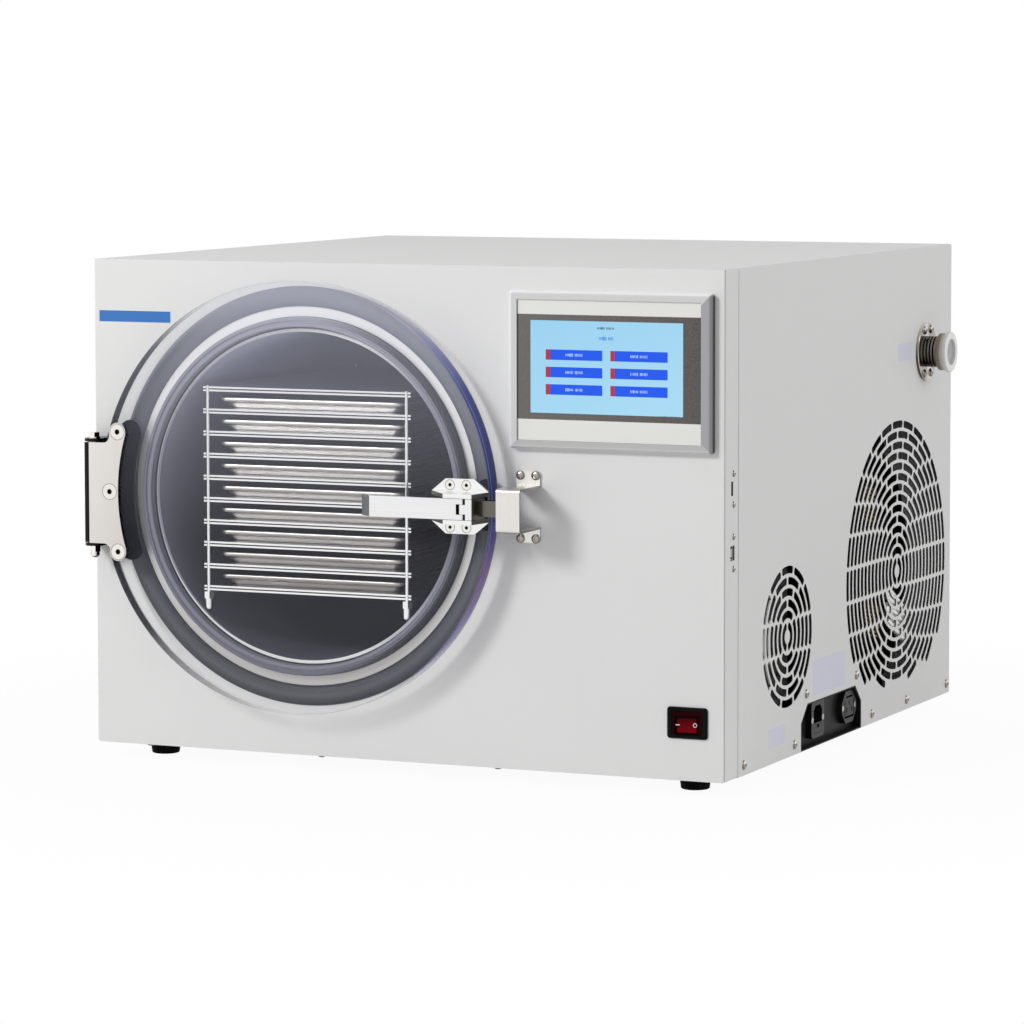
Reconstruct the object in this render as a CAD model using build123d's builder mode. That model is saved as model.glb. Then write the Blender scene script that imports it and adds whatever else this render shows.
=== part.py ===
from build123d import *
import math
import os

os.makedirs("parts", exist_ok=True)

# ---------------------------------------------------------------- driving sizes, in millimetres
# Casing
casing_width = 660.0
casing_depth = 660.0
casing_height = 475.0
sheet = 1.5
fit_gap = 0.3
side_return = 34.0
seam = 1.2
flange_height = 30.0
foot_height = 15.0
foot_radius = 15.5
foot_inset_x = 48.5
foot_inset_y = 50.0
foot_draft = 2.0
foot_neck = 5.0
foot_bolt_radius = 4.0

# Pan-head screw used all over the casing
screw_radius = 2.0
head_radius = 4.4
head_height = 2.2
screw_length = 7.0
strip_head_radius = 2.9
strip_head_height = 1.6
low_row = 10.0
notch_row = 55.0

# Door and chamber, concentric
door_from_left = 229.0
door_rise = 13.0
door_radius = 207.5
door_thickness = 20.0
door_gap = 9.0
chamber_radius = 158.3
chamber_wall = 3.0
chamber_length = 430.0
chamber_end = 5.0
rim_radius = 182.5
rim_thickness = 9.0
rim_proud = 0.5
seal_inner = 163.0
seal_outer = 172.5
seal_seat = 3.0
trim_outer = 202.0
trim_proud = 4.0
insulation = 22.0
header_angles = (35.0, -25.0)
header_tube = 5.0
seal_squeeze = 0.3
suction_x = 300.0
coil_tube = 4.0
coil_rings = 9

# Shelf rack and trays
shelf_count = 10
shelf_pitch = 21.5
shelf_sheet = 1.8
shelf_spacing = 3.0
rack_drop = 93.1
rod_offset = 106.3
rod_radius = 1.9
shelf_overhang = 4.6
rack_depth = 330.0
rack_setback = 2.0
tray_width = 198.0
tray_length = 322.0
tray_height = 11.0
tray_taper = 11.0
tray_wall = 0.8
tray_rim = 4.0
tray_corner = 6.0
rod_setback = 1.0
rod_proud = 1.0
nut_across = 9.0
nut_height = 6.8
nut_gap = 1.1
rack_foot_radius = 4.0

# Door hinge
pin_from_left = 9.7
pin_forward = 20.0
pin_radius = 3.0
running_gap = 0.05
plate_thickness = 3.0
plate_from_left = 8.5
plate_width = 50.0
lobe_rim = 1.0
web_length = 20.0
neck_fillet = 6.5
csk_angle = 105.0
plate_drop = 50.8
plate_rise = 47.5
plate_arc_radius = 187.0
ear_thickness = 3.0
block_gap = 0.4
hinge_screw_circle = 196.3
hinge_screw_angle = 17.3
hinge_head_radius = 7.9
hinge_shank_radius = 4.0
hinge_hex = 5.0
hex_depth = 2.4
block_half = 6.0
block_bevel = 2.5
block_back = 8.5
bracket_width = 25.0
bracket_sheet = 2.5
ear_radius = 9.4
bracket_screw_rises = (-35.5, -1.6, 32.5)
bolt_across = 10.0
bolt_head = 4.5
pin_tail = 8.0
cap_nut_height = 6.0
dome_radius = 4.4
dome_neck = 4.0
washer_edge = 1.2
washer_thickness = 1.2
pad_inner = 182.0
pad_outer = 206.0
pad_thickness = 2.5
hinge_pad_angle = 20.5
latch_pad_angle = 7.7

# Latch
latch_reach = 60.0
handle_length = 109.0
handle_height = 19.6
handle_thickness = 9.0
handle_bevel = 12.0
knuckle_from_left = 419.8
knuckle_radius = 3.0
knuckle_pin_radius = 1.5
tab_height = 8.9
knuckle_gap = 1.7
latch_flange = 4.0
latch_clearance = 0.4
latch_base_left = 377.5
latch_base_right = 436.0
latch_base_height = 52.0
latch_screw_rise = 20.0
latch_head_radius = 4.9
latch_shank_radius = 2.4
latch_screw_xs = (396.3, 413.2)
latch_screw_depth = 17.0
tongue_travel = 18.0
tongue_tip = 466.0
tongue_thickness = 10.0
tongue_forward = 46.0
tongue_height = 15.0
guide_pin_radius = 2.0
guide_xs = (410.0, 428.0)
latch_slope = 14.5
latch_hex = 3.2
knuckle_taper = 16.0

# Keeper
keeper_from_left = 451.3
keeper_width = 24.0
keeper_reach = 50.0
keeper_height = 41.3
keeper_ear = 13.0
keeper_sheet = 2.0
keeper_drop = 1.1
keeper_screw_gap = 15.6
keeper_screw_spread = 59.5

# Touchscreen
screen_gap = 9.4
screen_margin = 10.1
screen_height = 148.5
screen_from_top = 22.0
screen_proud = 8.0
screen_depth = 34.0
screen_flange = 5.0
overlay_margin = 8.5
overlay_right_margin = 10.9
overlay_thickness = 1.2
overlay_sink = 1.4
display_border = 50.4
display_height = 86.6
display_shift = -3.7
display_rise = 3.3
display_thickness = 4.0
display_edge = 4.0

# Power switch
switch_width = 40.1
switch_height = 29.5
switch_from_right = 36.5
switch_from_base = 54.25
switch_proud = 2.6
rocker_width = 28.7
rocker_height = 22.1
rocker_tilt = 7.0
rocker_pin_radius = 1.5
switch_depth = 28.0
switch_flange = 2.0

# Vents on the right-hand wall
slot_width = 7.4
slot_web = 3.2
ring_step = 10.75
big_vent_y = 488.4
big_vent_z = 146.6
big_vent_rings = 14
small_vent_y = 166.4
small_vent_z = 116.9
small_vent_rings = 6
vent_floor = 29.5
outer_floor = 45.0
slot_bulge = 1.7

# Mains recess on the right-hand wall
recess_near = 205.0
recess_far = 380.0
recess_height = 45.0
recess_slope = 18.0
recess_knee = 27.5
recess_depth = 9.0
recess_wall = 1.2
strip_height = 20.0
inlet_y = 261.0
outlet_y = 352.5
socket_z = 25.0
socket_proud = 6.0
socket_length = 42.0

socket_screw_radius = 1.5
inlet_width = 36.0
inlet_height = 36.0
inlet_mouth_width = 24.0
inlet_mouth_height = 17.0
inlet_mouth_rise = 5.0
inlet_depth = 24.0
drawer_width = 22.0
drawer_height = 8.0
drawer_drop = 9.5
outlet_height = 32.0
outlet_shoulder = 10.5
outlet_mouth_width = 27.0
outlet_mouth_height = 22.0
outlet_depth = 26.0
body_margin = 3.0
socket_lip = 6.4
socket_screw_head = 2.8
drawer_depth = 20.0

# Card slot and data socket in the front panel's right-hand return
card_y = 18.5
card_z = 271.9
card_width = 5.0
card_height = 13.4
data_y = 19.5
data_z = 212.0
data_width = 10.9
data_height = 13.9
board_setback = 18.0
board_thickness = 1.6

# Vacuum port on the right-hand wall
port_y = 574.7
port_z = 366.7
port_flange_radius = 30.0
port_flange_thickness = 3.0
bellows_radius = 16.0
bellows_core = 12.5
bellows_length = 13.7
bellows_ribs = 4
port_bore = 9.0
port_lip_radius = 17.5
port_lip = 3.0
cap_radius = 21.0
cap_thickness = 9.0
cap_face = 4.2
cap_hub_radius = 19.2
cap_dish = 13.0
port_screw_circle = 24.5
port_screw_angle = 24.0

# Refrigeration and electrics inside
saddle_width = 150.0
saddle_height = 100.0
saddle_thickness = 3.0
compressor_radius = 72.0
compressor_height = 165.0
compressor_x = 330.0
compressor_y = 550.0
mount_height = 14.0
condenser_thickness = 46.0
condenser_width = 270.0
condenser_height = 270.0
condenser_fins = 28
condenser_setback = 108.0
fan_radius = 120.0
fan_depth = 26.0
fan_blades = 5
shroud_thickness = 2.0
motor_radius = 34.0
motor_length = 22.0
pipe_radius = 4.0
pipe_bend = 20.0
pipe_stub = 6.0
tank_radius = 6.0
pipe_spread = 24.0
mount_spread = 58.0
mount_neck = 7.0
end_plate = 2.0
fin_thickness = 0.8
fin_margin = 8.0
tube_rows = 8
shaft_radius = 4.0
fan_hub_radius = 30.0
fan_hub_length = 18.0
fan_chord = 50.0
fan_pitch = 24.0
supply_gap = 6.0
supply_start = 62.0
supply_width = 78.0
supply_length = 126.0
supply_height = 205.0
board_from_left = 478.0
board_from_base = 92.0
board_width = 150.0
board_height = 100.0
spacer_height = 10.0

# ---------------------------------------------------------------- key planes
# The origin is the middle of the whole outline, on the surface that the feet stand on.
port_reach = port_flange_thickness + bellows_length + port_lip + cap_thickness
left = -(casing_width + port_reach + head_height) / 2 + head_height
right = left + casing_width
front = -(casing_depth + latch_reach + head_height) / 2 + latch_reach
rear = front + casing_depth
base = foot_height
top = base + casing_height
door_from_base = casing_height / 2 + door_rise
plate_low = door_from_base - plate_drop
plate_high = door_from_base + plate_rise
rack_bottom = door_from_base - rack_drop
# The screen fills the width between the door and the casing's right-hand edge.
screen_width = casing_width - door_from_left - door_radius - screen_gap - screen_margin
display_width = screen_width - display_border
screen_x = right - screen_margin - screen_width / 2
screen_z = top - screen_from_top - screen_height / 2
overlay_width = screen_width - overlay_margin - overlay_right_margin
overlay_x = screen_x - (overlay_right_margin - overlay_margin) / 2
switch_x = right - switch_from_right
switch_z = base + switch_from_base
door_x = left + door_from_left
door_z = base + door_from_base
door_back = front - door_gap
door_face = door_back - door_thickness
plate_face = door_face - plate_thickness
guide_y = front - tongue_forward + tongue_thickness / 2
wall = right - sheet
board_x = wall - board_setback
tray_floor = right - recess_depth


def facing_front(y, x=0.0, z=0.0):
    """Plane with local x to the right, local y up and its normal towards the front."""
    return Plane(origin=(x, y, z), x_dir=(1, 0, 0), z_dir=(0, -1, 0))


def facing_right(x, y=0.0, z=0.0):
    """Plane with local x to the rear, local y up and its normal to the right."""
    return Plane(origin=(x, y, z), x_dir=(0, 1, 0), z_dir=(1, 0, 0))


def facing_left(x, y=0.0, z=0.0):
    """Plane with its normal to the left."""
    return Plane(origin=(x, y, z), x_dir=(0, -1, 0), z_dir=(-1, 0, 0))


def facing_rear(y, x=0.0, z=0.0):
    """Plane with its normal to the rear."""
    return Plane(origin=(x, y, z), x_dir=(-1, 0, 0), z_dir=(0, 1, 0))


def facing_down(z, x=0.0, y=0.0):
    """Plane with its normal down."""
    return Plane(origin=(x, y, z), x_dir=(1, 0, 0), z_dir=(0, 0, -1))


def write(piece, name):
    piece.part.label = name
    export_step(piece.part, f"parts/{name}.step")


chamber_axis = Axis((door_x, front, door_z), (0, 1, 0))
# Section plane of the door and chamber: local x is the radius, local y the depth behind the panel.
chamber_section = Plane(origin=(door_x, front, door_z), x_dir=(1, 0, 0), z_dir=(0, 0, 1))

# ---------------------------------------------------------------- screw places
saddle_ys = [front + side_return + 2.0, front + chamber_length - 12.0]
cover_screw_ys = [50.0, 187.0, 412.0, 520.0, 650.0]
left_extra_y = 300.0
base_screw_xs = (54.0, 241.0, 427.0)
strip_screw_y = 22.0
right_places = [facing_right(right, front + y, base + low_row) for y in cover_screw_ys]
notch_places = [
    facing_right(right, front + recess_near + 15.0, base + notch_row),
    facing_right(right, front + recess_far - 15.0, base + notch_row),
]
left_places = [facing_left(left, front + y, base + low_row) for y in cover_screw_ys + [left_extra_y]]
strip_zs = [197.0, 227.0, 257.0, 285.7]
strip_places = [facing_right(right, front + strip_screw_y, base + z) for z in strip_zs]
base_places = [facing_down(base, left + x, front + 9.0) for x in base_screw_xs]
rear_xs = [20.0, casing_width / 3, 2 * casing_width / 3, casing_width - 20.0]
rear_places = [facing_rear(rear, left + x, z) for x in rear_xs for z in (base + 14.0, top - 14.0)]
keeper_mid = keeper_from_left + keeper_width / 2
keeper_places = [
    facing_front(
        front - keeper_sheet,
        left + keeper_mid + across * keeper_screw_gap / 2,
        door_z - keeper_drop + up * keeper_screw_spread / 2,
    )
    for across in (-1, 1)
    for up in (-1, 1)
]
bracket_places = [
    facing_front(front - bracket_sheet, left + pin_from_left + 4.0, door_z + rise)
    for rise in bracket_screw_rises
]
foot_places = [
    (x, y, base)
    for x in (left + foot_inset_x, right - foot_inset_x)
    for y in (front + foot_inset_y, rear - foot_inset_y)
]
port_places = [
    facing_right(
        right + port_flange_thickness,
        front + port_y + port_screw_circle * math.sin(math.radians(angle)),
        base + port_z + port_screw_circle * math.cos(math.radians(angle)),
    )
    for angle in (port_screw_angle, -port_screw_angle, 180 - port_screw_angle, 180 + port_screw_angle)
]

# ---------------------------------------------------------------- casing


def slot_angles(ring):
    """Middle angles of a ring's slots: two more slots for each ring outwards, one of them level."""
    return [180.0 * index / ring for index in range(2 * ring)]


def slot_half_angle(ring):
    radius = ring * ring_step
    return math.degrees((math.pi * ring_step - slot_web) / 2 / radius)


def lowest_point(ring, angle):
    """Lowest height of one slot below the vent's centre."""
    radius = ring * ring_step + slot_width / 2
    half = slot_half_angle(ring)
    away = min(abs(angle - 270.0), 180.0)
    return radius * math.sin(math.radians(270.0 + max(0.0, away - half)))


def vent_slots(rings, floor_drop, outer_drop):
    """Sketch of concentric curved slots around its origin, none of them below floor_drop.

    The outermost ring stops higher, at outer_drop, clear of the recess and its screws.
    """
    with BuildSketch() as vent:
        for ring in range(1, rings + 1):
            radius = ring * ring_step
            half = slot_half_angle(ring)
            drop = outer_drop if ring == rings else floor_drop
            kept = [angle for angle in slot_angles(ring) if lowest_point(ring, angle) > -drop]
            corner = half - math.degrees(slot_bulge / radius)
            end_x = radius * math.cos(math.radians(half))
            end_y = radius * math.sin(math.radians(half))
            with BuildSketch(mode=Mode.PRIVATE) as slot:
                with BuildLine():
                    near = CenterArc((0, 0), radius - slot_width / 2, -corner, 2 * corner)
                    far = CenterArc((0, 0), radius + slot_width / 2, -corner, 2 * corner)
                    ThreePointArc(near @ 0, (end_x, -end_y), far @ 0)
                    ThreePointArc(near @ 1, (end_x, end_y), far @ 1)
                make_face()
            with Locations(*[Location((0, 0, 0), (0, 0, angle)) for angle in kept]):
                add(slot.sketch)
    return vent.sketch


def recess_outline(grow):
    """Sketch of the mains recess seen from the right: local x to the rear, local y up from the base."""
    near = recess_near - grow
    far = recess_far + grow
    high = recess_height + grow
    with BuildSketch() as outline:
        with BuildLine():
            Polyline(
                (near, -1.0),
                (near, recess_knee),
                (near + recess_slope, high),
                (far - recess_slope, high),
                (far, recess_knee),
                (far, -1.0),
                close=True,
            )
        make_face()
    return outline.sketch


with BuildPart() as casing_cover:
    cover_start = front + sheet + fit_gap
    with BuildSketch(facing_rear(cover_start, left + casing_width / 2, base)):
        Rectangle(casing_width, casing_height, align=(Align.CENTER, Align.MIN))
    extrude(amount=casing_depth - sheet - fit_gap)
    fillet(casing_cover.edges().filter_by(Axis.Y).group_by(Axis.Z)[-1], 2.0)
    with BuildSketch(facing_rear(cover_start, left + casing_width / 2, base)):
        Rectangle(casing_width - 2 * sheet, casing_height - sheet, align=(Align.CENTER, Align.MIN))
    extrude(amount=casing_depth, mode=Mode.SUBTRACT)
    # The side walls start behind the front panel's side returns.
    with BuildSketch(facing_right(left - 1.0, front, base)):
        Rectangle(side_return + seam, casing_height - sheet, align=(Align.MIN, Align.MIN))
    extrude(amount=casing_width + 2.0, mode=Mode.SUBTRACT)
    with BuildSketch(facing_right(wall - 1.0, front, base)):
        add(recess_outline(0.0))
    extrude(amount=sheet + 2.0, mode=Mode.SUBTRACT)
    with BuildSketch(facing_right(wall - 1.0, front + big_vent_y, base + big_vent_z)):
        add(vent_slots(big_vent_rings, big_vent_z - vent_floor, big_vent_z - outer_floor))
    extrude(amount=sheet + 2.0, mode=Mode.SUBTRACT)
    with BuildSketch(facing_right(wall - 1.0, front + small_vent_y, base + small_vent_z)):
        add(vent_slots(small_vent_rings, small_vent_z, small_vent_z))
    extrude(amount=sheet + 2.0, mode=Mode.SUBTRACT)
    with BuildSketch(facing_right(wall - 1.0, front + port_y, base + port_z)):
        Circle(bellows_core)
    extrude(amount=sheet + 2.0, mode=Mode.SUBTRACT)
    with Locations(*right_places, *left_places, *notch_places, *port_places):
        Cylinder(screw_radius + fit_gap, 2 * screw_length, mode=Mode.SUBTRACT)
write(casing_cover, "casing_cover")

with BuildPart() as front_panel:
    # The panel's folds stand on the base pan, whose front edge shows below it.
    with BuildSketch(facing_front(front + sheet, left + casing_width / 2, base + sheet)):
        Rectangle(casing_width, casing_height - sheet, align=(Align.CENTER, Align.MIN))
    extrude(amount=sheet)
    for side_x in (left, wall):
        with BuildSketch(facing_right(side_x, front + sheet, base + sheet)):
            Rectangle(side_return - sheet, casing_height - 2 * sheet, align=(Align.MIN, Align.MIN))
        extrude(amount=sheet)
    with BuildSketch(Plane((left + sheet, front + sheet, base + sheet))):
        Rectangle(casing_width - 2 * sheet, side_return - 2 * sheet, align=(Align.MIN, Align.MIN))
    extrude(amount=sheet)
    fillet(front_panel.edges().filter_by(Axis.Z).group_by(Axis.Y)[0], 1.2)
    with BuildSketch(facing_front(front + sheet)):
        with Locations((door_x, door_z)):
            Circle(rim_radius + sheet)
        with Locations((screen_x, screen_z)):
            Rectangle(screen_width - 2 * screen_flange, screen_height - 2 * screen_flange)
        with Locations((switch_x, switch_z)):
            Rectangle(switch_width - 2 * switch_flange, switch_height - 2 * switch_flange)
    extrude(amount=sheet, mode=Mode.SUBTRACT)
    # Card slot and data socket in the right-hand return
    with BuildSketch(facing_right(wall, front, base)):
        with Locations((card_y, card_z)):
            Rectangle(card_width, card_height)
        with Locations((data_y, data_z)):
            Rectangle(data_width, data_height)
    extrude(amount=sheet, mode=Mode.SUBTRACT)
    with Locations(*strip_places, *keeper_places, *bracket_places, *base_places):
        Cylinder(screw_radius + fit_gap, 6 * plate_thickness, mode=Mode.SUBTRACT)
write(front_panel, "front_panel")

with BuildPart() as base_pan:
    floor_width = casing_width - 2 * sheet - 2 * fit_gap
    flange_length = casing_depth - side_return - seam - 2 * sheet - 2 * fit_gap
    with BuildSketch(Plane((left + casing_width / 2, front, base))):
        Rectangle(floor_width, casing_depth - sheet - fit_gap, align=(Align.CENTER, Align.MIN))
    extrude(amount=sheet)
    # Side flanges behind the cover's walls, carrying its lower row of screws
    for side_x in (left + sheet + fit_gap, wall - fit_gap - sheet):
        with BuildSketch(facing_right(side_x, front + side_return + seam, base + sheet)):
            Rectangle(flange_length, flange_height, align=(Align.MIN, Align.MIN))
        extrude(amount=sheet)
    with BuildSketch(facing_right(wall - recess_depth - 3.0, front, base)):
        add(recess_outline(3.0))
    extrude(amount=recess_depth + 4.0, mode=Mode.SUBTRACT)
    # Two welded saddles under the chamber, clear of its insulation
    for saddle_y in saddle_ys:
        with BuildSketch(facing_rear(saddle_y, door_x, base + sheet)):
            Rectangle(saddle_width, saddle_height, align=(Align.CENTER, Align.MIN))
            with Locations((0, door_from_base - sheet)):
                Circle(chamber_radius + chamber_wall, mode=Mode.SUBTRACT)
        extrude(amount=saddle_thickness)
    with Locations(*base_places, *right_places, *left_places):
        Cylinder(screw_radius, 6 * sheet, mode=Mode.SUBTRACT)
    with Locations(*foot_places):
        Cylinder(foot_neck, 4 * sheet, mode=Mode.SUBTRACT)
write(base_pan, "base_pan")

with BuildPart() as rear_panel:
    with BuildSketch(facing_rear(rear - sheet, left + casing_width / 2, base)):
        Rectangle(floor_width, casing_height - sheet - fit_gap, align=(Align.CENTER, Align.MIN))
    extrude(amount=sheet)
    # Tabs behind the plate, up against the cover's inside, that the rear screws bite into
    for tab_x, tab_z in [(x, z) for x in rear_xs for z in (base + 14.0, top - 14.0)]:
        with BuildSketch(facing_rear(rear - 2 * sheet, left + tab_x, tab_z)):
            Rectangle(24.0, 18.0)
        extrude(amount=sheet)
    with Locations(*rear_places):
        Cylinder(screw_radius, 6 * sheet, mode=Mode.SUBTRACT)
write(rear_panel, "rear_panel")

with BuildPart() as feet:
    # The necks pass through round holes in the base pan.
    with Locations(*foot_places):
        Cone(
            foot_radius - foot_draft, foot_radius, foot_height,
            align=(Align.CENTER, Align.CENTER, Align.MAX),
        )
        Cylinder(foot_neck, 2 * sheet, align=(Align.CENTER, Align.CENTER, Align.MIN))
    fillet(feet.edges().group_by(Axis.Z)[0], 1.5)
    with Locations(*[(x, y, 0.0) for x, y, _ in foot_places]):
        Hole(foot_bolt_radius, foot_height / 2)
write(feet, "feet")


def pan_screw(width, height, recess_depth):
    """Domed cross-recess screw standing on the plane z = 0, its head width across and height tall."""
    with BuildPart() as screw:
        with BuildSketch(Plane.XZ):
            with BuildLine():
                Polyline((screw_radius, 0.0), (width / 2, 0.0), (width / 2, height * 0.3))
                ThreePointArc((width / 2, height * 0.3), (width * 0.36, height * 0.84), (0.0, height))
                Polyline(
                    (0.0, height), (0.0, -screw_length), (screw_radius, -screw_length), (screw_radius, 0.0)
                )
            make_face()
        revolve(axis=Axis.Z)
        with Locations((0, 0, height)):
            Box(width / 2, width / 10, recess_depth, mode=Mode.SUBTRACT)
            Box(width / 10, width / 2, recess_depth, mode=Mode.SUBTRACT)
    return screw.part



with BuildPart() as casing_screws:
    with Locations(
        *right_places, *left_places, *notch_places, *base_places, *rear_places,
        *keeper_places, *bracket_places, *port_places,
    ):
        add(pan_screw(2 * head_radius, head_height, head_height))
write(casing_screws, "casing_screws")

with BuildPart() as strip_screws:
    with Locations(*strip_places):
        add(pan_screw(2 * strip_head_radius, strip_head_height, strip_head_height))
write(strip_screws, "strip_screws")

# ---------------------------------------------------------------- side sockets
with BuildPart() as service_board:
    # Board behind the right-hand return with a card holder and a data socket, on four threaded spacers
    with BuildSketch(facing_right(board_x, front + 4.0, base + strip_zs[0] - 7.0)):
        Rectangle(25.0, strip_zs[-1] - strip_zs[0] + 14.0, align=(Align.MIN, Align.MIN))
    extrude(amount=board_thickness)
    with Locations(*[facing_right(wall, front + strip_screw_y, base + z) for z in strip_zs]):
        Cylinder(3.4, board_setback - board_thickness, align=(Align.CENTER, Align.CENTER, Align.MAX))
    with BuildSketch(facing_right(wall, front, base)):
        with Locations((data_y, data_z)):
            Rectangle(data_width - 0.6, data_height - 0.6)
        with Locations((card_y, card_z)):
            Rectangle(card_width - 0.6, card_height - 0.6)
    extrude(amount=-(board_setback - board_thickness))
    with BuildSketch(facing_right(wall, front, base)):
        with Locations((data_y, data_z)):
            Rectangle(data_width - 2.4, data_height - 2.4)
            Rectangle(data_width - 6.0, data_height - 6.0, mode=Mode.SUBTRACT)
        with Locations((card_y, card_z)):
            Rectangle(card_width - 1.8, card_height - 2.4)
    extrude(amount=-6.0, mode=Mode.SUBTRACT)
    with Locations(*strip_places):
        Cylinder(screw_radius, 2 * screw_length, mode=Mode.SUBTRACT)
write(service_board, "service_board")

socket_screw_places = [
    facing_right(tray_floor + socket_proud, front + y + dy, base + z)
    for y, z, half in (
        (inlet_y, socket_z, inlet_width / 2 - 3.2),
        (outlet_y, socket_z, socket_length / 2 - 3.2),
    )
    for dy in (-half, half)
]

with BuildPart() as power_recess:
    with BuildSketch(facing_right(tray_floor - recess_wall, front, base)):
        add(recess_outline(-fit_gap))
    extrude(amount=right - fit_gap - tray_floor + recess_wall)
    with BuildSketch(facing_right(tray_floor, front, base)):
        add(recess_outline(-fit_gap - recess_wall))
    extrude(amount=recess_depth + 1.0, mode=Mode.SUBTRACT)
    # Floor of the tray, and the strip behind the cover that its two screws bite into
    recess_middle = front + (recess_near + recess_far) / 2
    with BuildSketch(facing_right(tray_floor, recess_middle, base)):
        Rectangle(recess_far - recess_near - 2 * fit_gap, recess_wall, align=(Align.CENTER, Align.MIN))
    extrude(amount=right - fit_gap - tray_floor)
    with BuildSketch(facing_right(wall - sheet, recess_middle, base + recess_height - recess_wall)):
        Rectangle(recess_far - recess_near - 2 * recess_wall, strip_height, align=(Align.CENTER, Align.MIN))
    extrude(amount=sheet)
    with BuildSketch(facing_right(tray_floor - 2 * recess_wall, recess_middle, base)):
        Rectangle(recess_far, base, align=(Align.CENTER, Align.MAX))
    extrude(amount=2 * recess_depth, mode=Mode.SUBTRACT)
    with BuildSketch(facing_right(tray_floor, front, base)):
        with Locations((inlet_y, socket_z)):
            Rectangle(inlet_width - 2 * socket_lip, inlet_height - 2 * body_margin)
        with Locations((outlet_y, socket_z)):
            Rectangle(socket_length - 2 * socket_lip, outlet_height - 2 * body_margin)
    extrude(amount=-recess_wall, mode=Mode.SUBTRACT)
    with Locations(*notch_places):
        Cylinder(screw_radius, 6 * sheet, mode=Mode.SUBTRACT)
    with Locations(*socket_screw_places):
        Cylinder(socket_screw_radius, 4 * socket_proud, mode=Mode.SUBTRACT)
write(power_recess, "power_recess")

with BuildPart() as mains_inlet:
    with BuildSketch(facing_right(tray_floor, front + inlet_y, base + socket_z)):
        Rectangle(inlet_width, inlet_height)
        chamfer(vertices(), 3.0)
    extrude(amount=socket_proud)
    with BuildSketch(facing_right(tray_floor, front + inlet_y, base + socket_z)):
        Rectangle(inlet_width - 2 * socket_lip - fit_gap, inlet_height - 2 * body_margin - fit_gap)
    extrude(amount=-inlet_depth)
    with BuildSketch(facing_right(tray_floor + socket_proud, front + inlet_y, base + socket_z)):
        with Locations((0, inlet_mouth_rise)):
            Rectangle(inlet_mouth_width, inlet_mouth_height)
            chamfer(vertices().group_by(Axis.Y)[-1], 5.0)
        with Locations((0, -drawer_drop)):
            Rectangle(drawer_width + 2 * fit_gap, drawer_height + 2 * fit_gap)
    extrude(amount=-inlet_depth + 2.0, mode=Mode.SUBTRACT)
    # Three flat pins standing in the mouth
    pin_root = tray_floor - inlet_depth + 6.0
    with BuildSketch(facing_right(pin_root, front + inlet_y, base + socket_z + inlet_mouth_rise)):
        with Locations((0, 3.0), (-7.0, -2.5), (7.0, -2.5)):
            Rectangle(2.0, 4.6)
    extrude(amount=18.0)
    with Locations(*socket_screw_places):
        CounterSinkHole(socket_screw_radius, socket_screw_head, depth=2 * inlet_depth)
write(mains_inlet, "mains_inlet")

with BuildPart() as fuse_drawer:
    with BuildSketch(facing_right(tray_floor + socket_proud, front + inlet_y, base + socket_z - drawer_drop)):
        Rectangle(drawer_width, drawer_height)
    extrude(amount=-drawer_depth)
    with BuildSketch(facing_right(tray_floor + socket_proud, front + inlet_y, base + socket_z - drawer_drop)):
        with Locations((0, drawer_height / 2)):
            Rectangle(8.0, 3.0, align=(Align.CENTER, Align.MAX))
    extrude(amount=-1.2, mode=Mode.SUBTRACT)
write(fuse_drawer, "fuse_drawer")

with BuildPart() as pump_outlet:
    with BuildSketch(facing_right(tray_floor, front + outlet_y, base + socket_z)):
        with BuildLine():
            Polyline(
                (-socket_length / 2, -5.0),
                (-socket_length / 2, 5.0),
                (-outlet_shoulder, outlet_height / 2),
                (outlet_shoulder, outlet_height / 2),
                (socket_length / 2, 5.0),
                (socket_length / 2, -5.0),
                (outlet_shoulder, -outlet_height / 2),
                (-outlet_shoulder, -outlet_height / 2),
                close=True,
            )
        make_face()
    extrude(amount=socket_proud)
    with BuildSketch(facing_right(tray_floor, front + outlet_y, base + socket_z)):
        Rectangle(socket_length - 2 * socket_lip - fit_gap, outlet_height - 2 * body_margin - fit_gap)
    extrude(amount=-outlet_depth)
    # Moat around the core, and the core's three slots
    with BuildSketch(facing_right(tray_floor + socket_proud, front + outlet_y, base + socket_z)):
        Rectangle(outlet_mouth_width, outlet_mouth_height)
        chamfer(vertices().group_by(Axis.Y)[-1], 5.0)
        Rectangle(outlet_mouth_width - 4.0, outlet_mouth_height - 4.0, mode=Mode.SUBTRACT)
        with Locations((0, 4.0), (-7.0, -3.0), (7.0, -3.0)):
            Rectangle(2.2, 5.0)
    extrude(amount=-outlet_depth + 4.0, mode=Mode.SUBTRACT)
    with Locations(*socket_screw_places):
        CounterSinkHole(socket_screw_radius, socket_screw_head, depth=2 * outlet_depth)
write(pump_outlet, "pump_outlet")

with BuildPart() as socket_screws:
    with Locations(*socket_screw_places):
        Cone(
            socket_screw_radius, socket_screw_head, socket_screw_head - socket_screw_radius,
            align=(Align.CENTER, Align.CENTER, Align.MAX),
        )
        Cylinder(socket_screw_radius, socket_proud + 4.0, align=(Align.CENTER, Align.CENTER, Align.MAX))
        Box(0.7, 3.4, 1.2, mode=Mode.SUBTRACT)
write(socket_screws, "socket_screws")

# ---------------------------------------------------------------- touchscreen and power switch
overlay_face = front - screen_proud + overlay_sink
overlay_back = overlay_face + overlay_thickness
display_place = facing_front(overlay_back, screen_x + display_shift, screen_z + display_rise)

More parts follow.
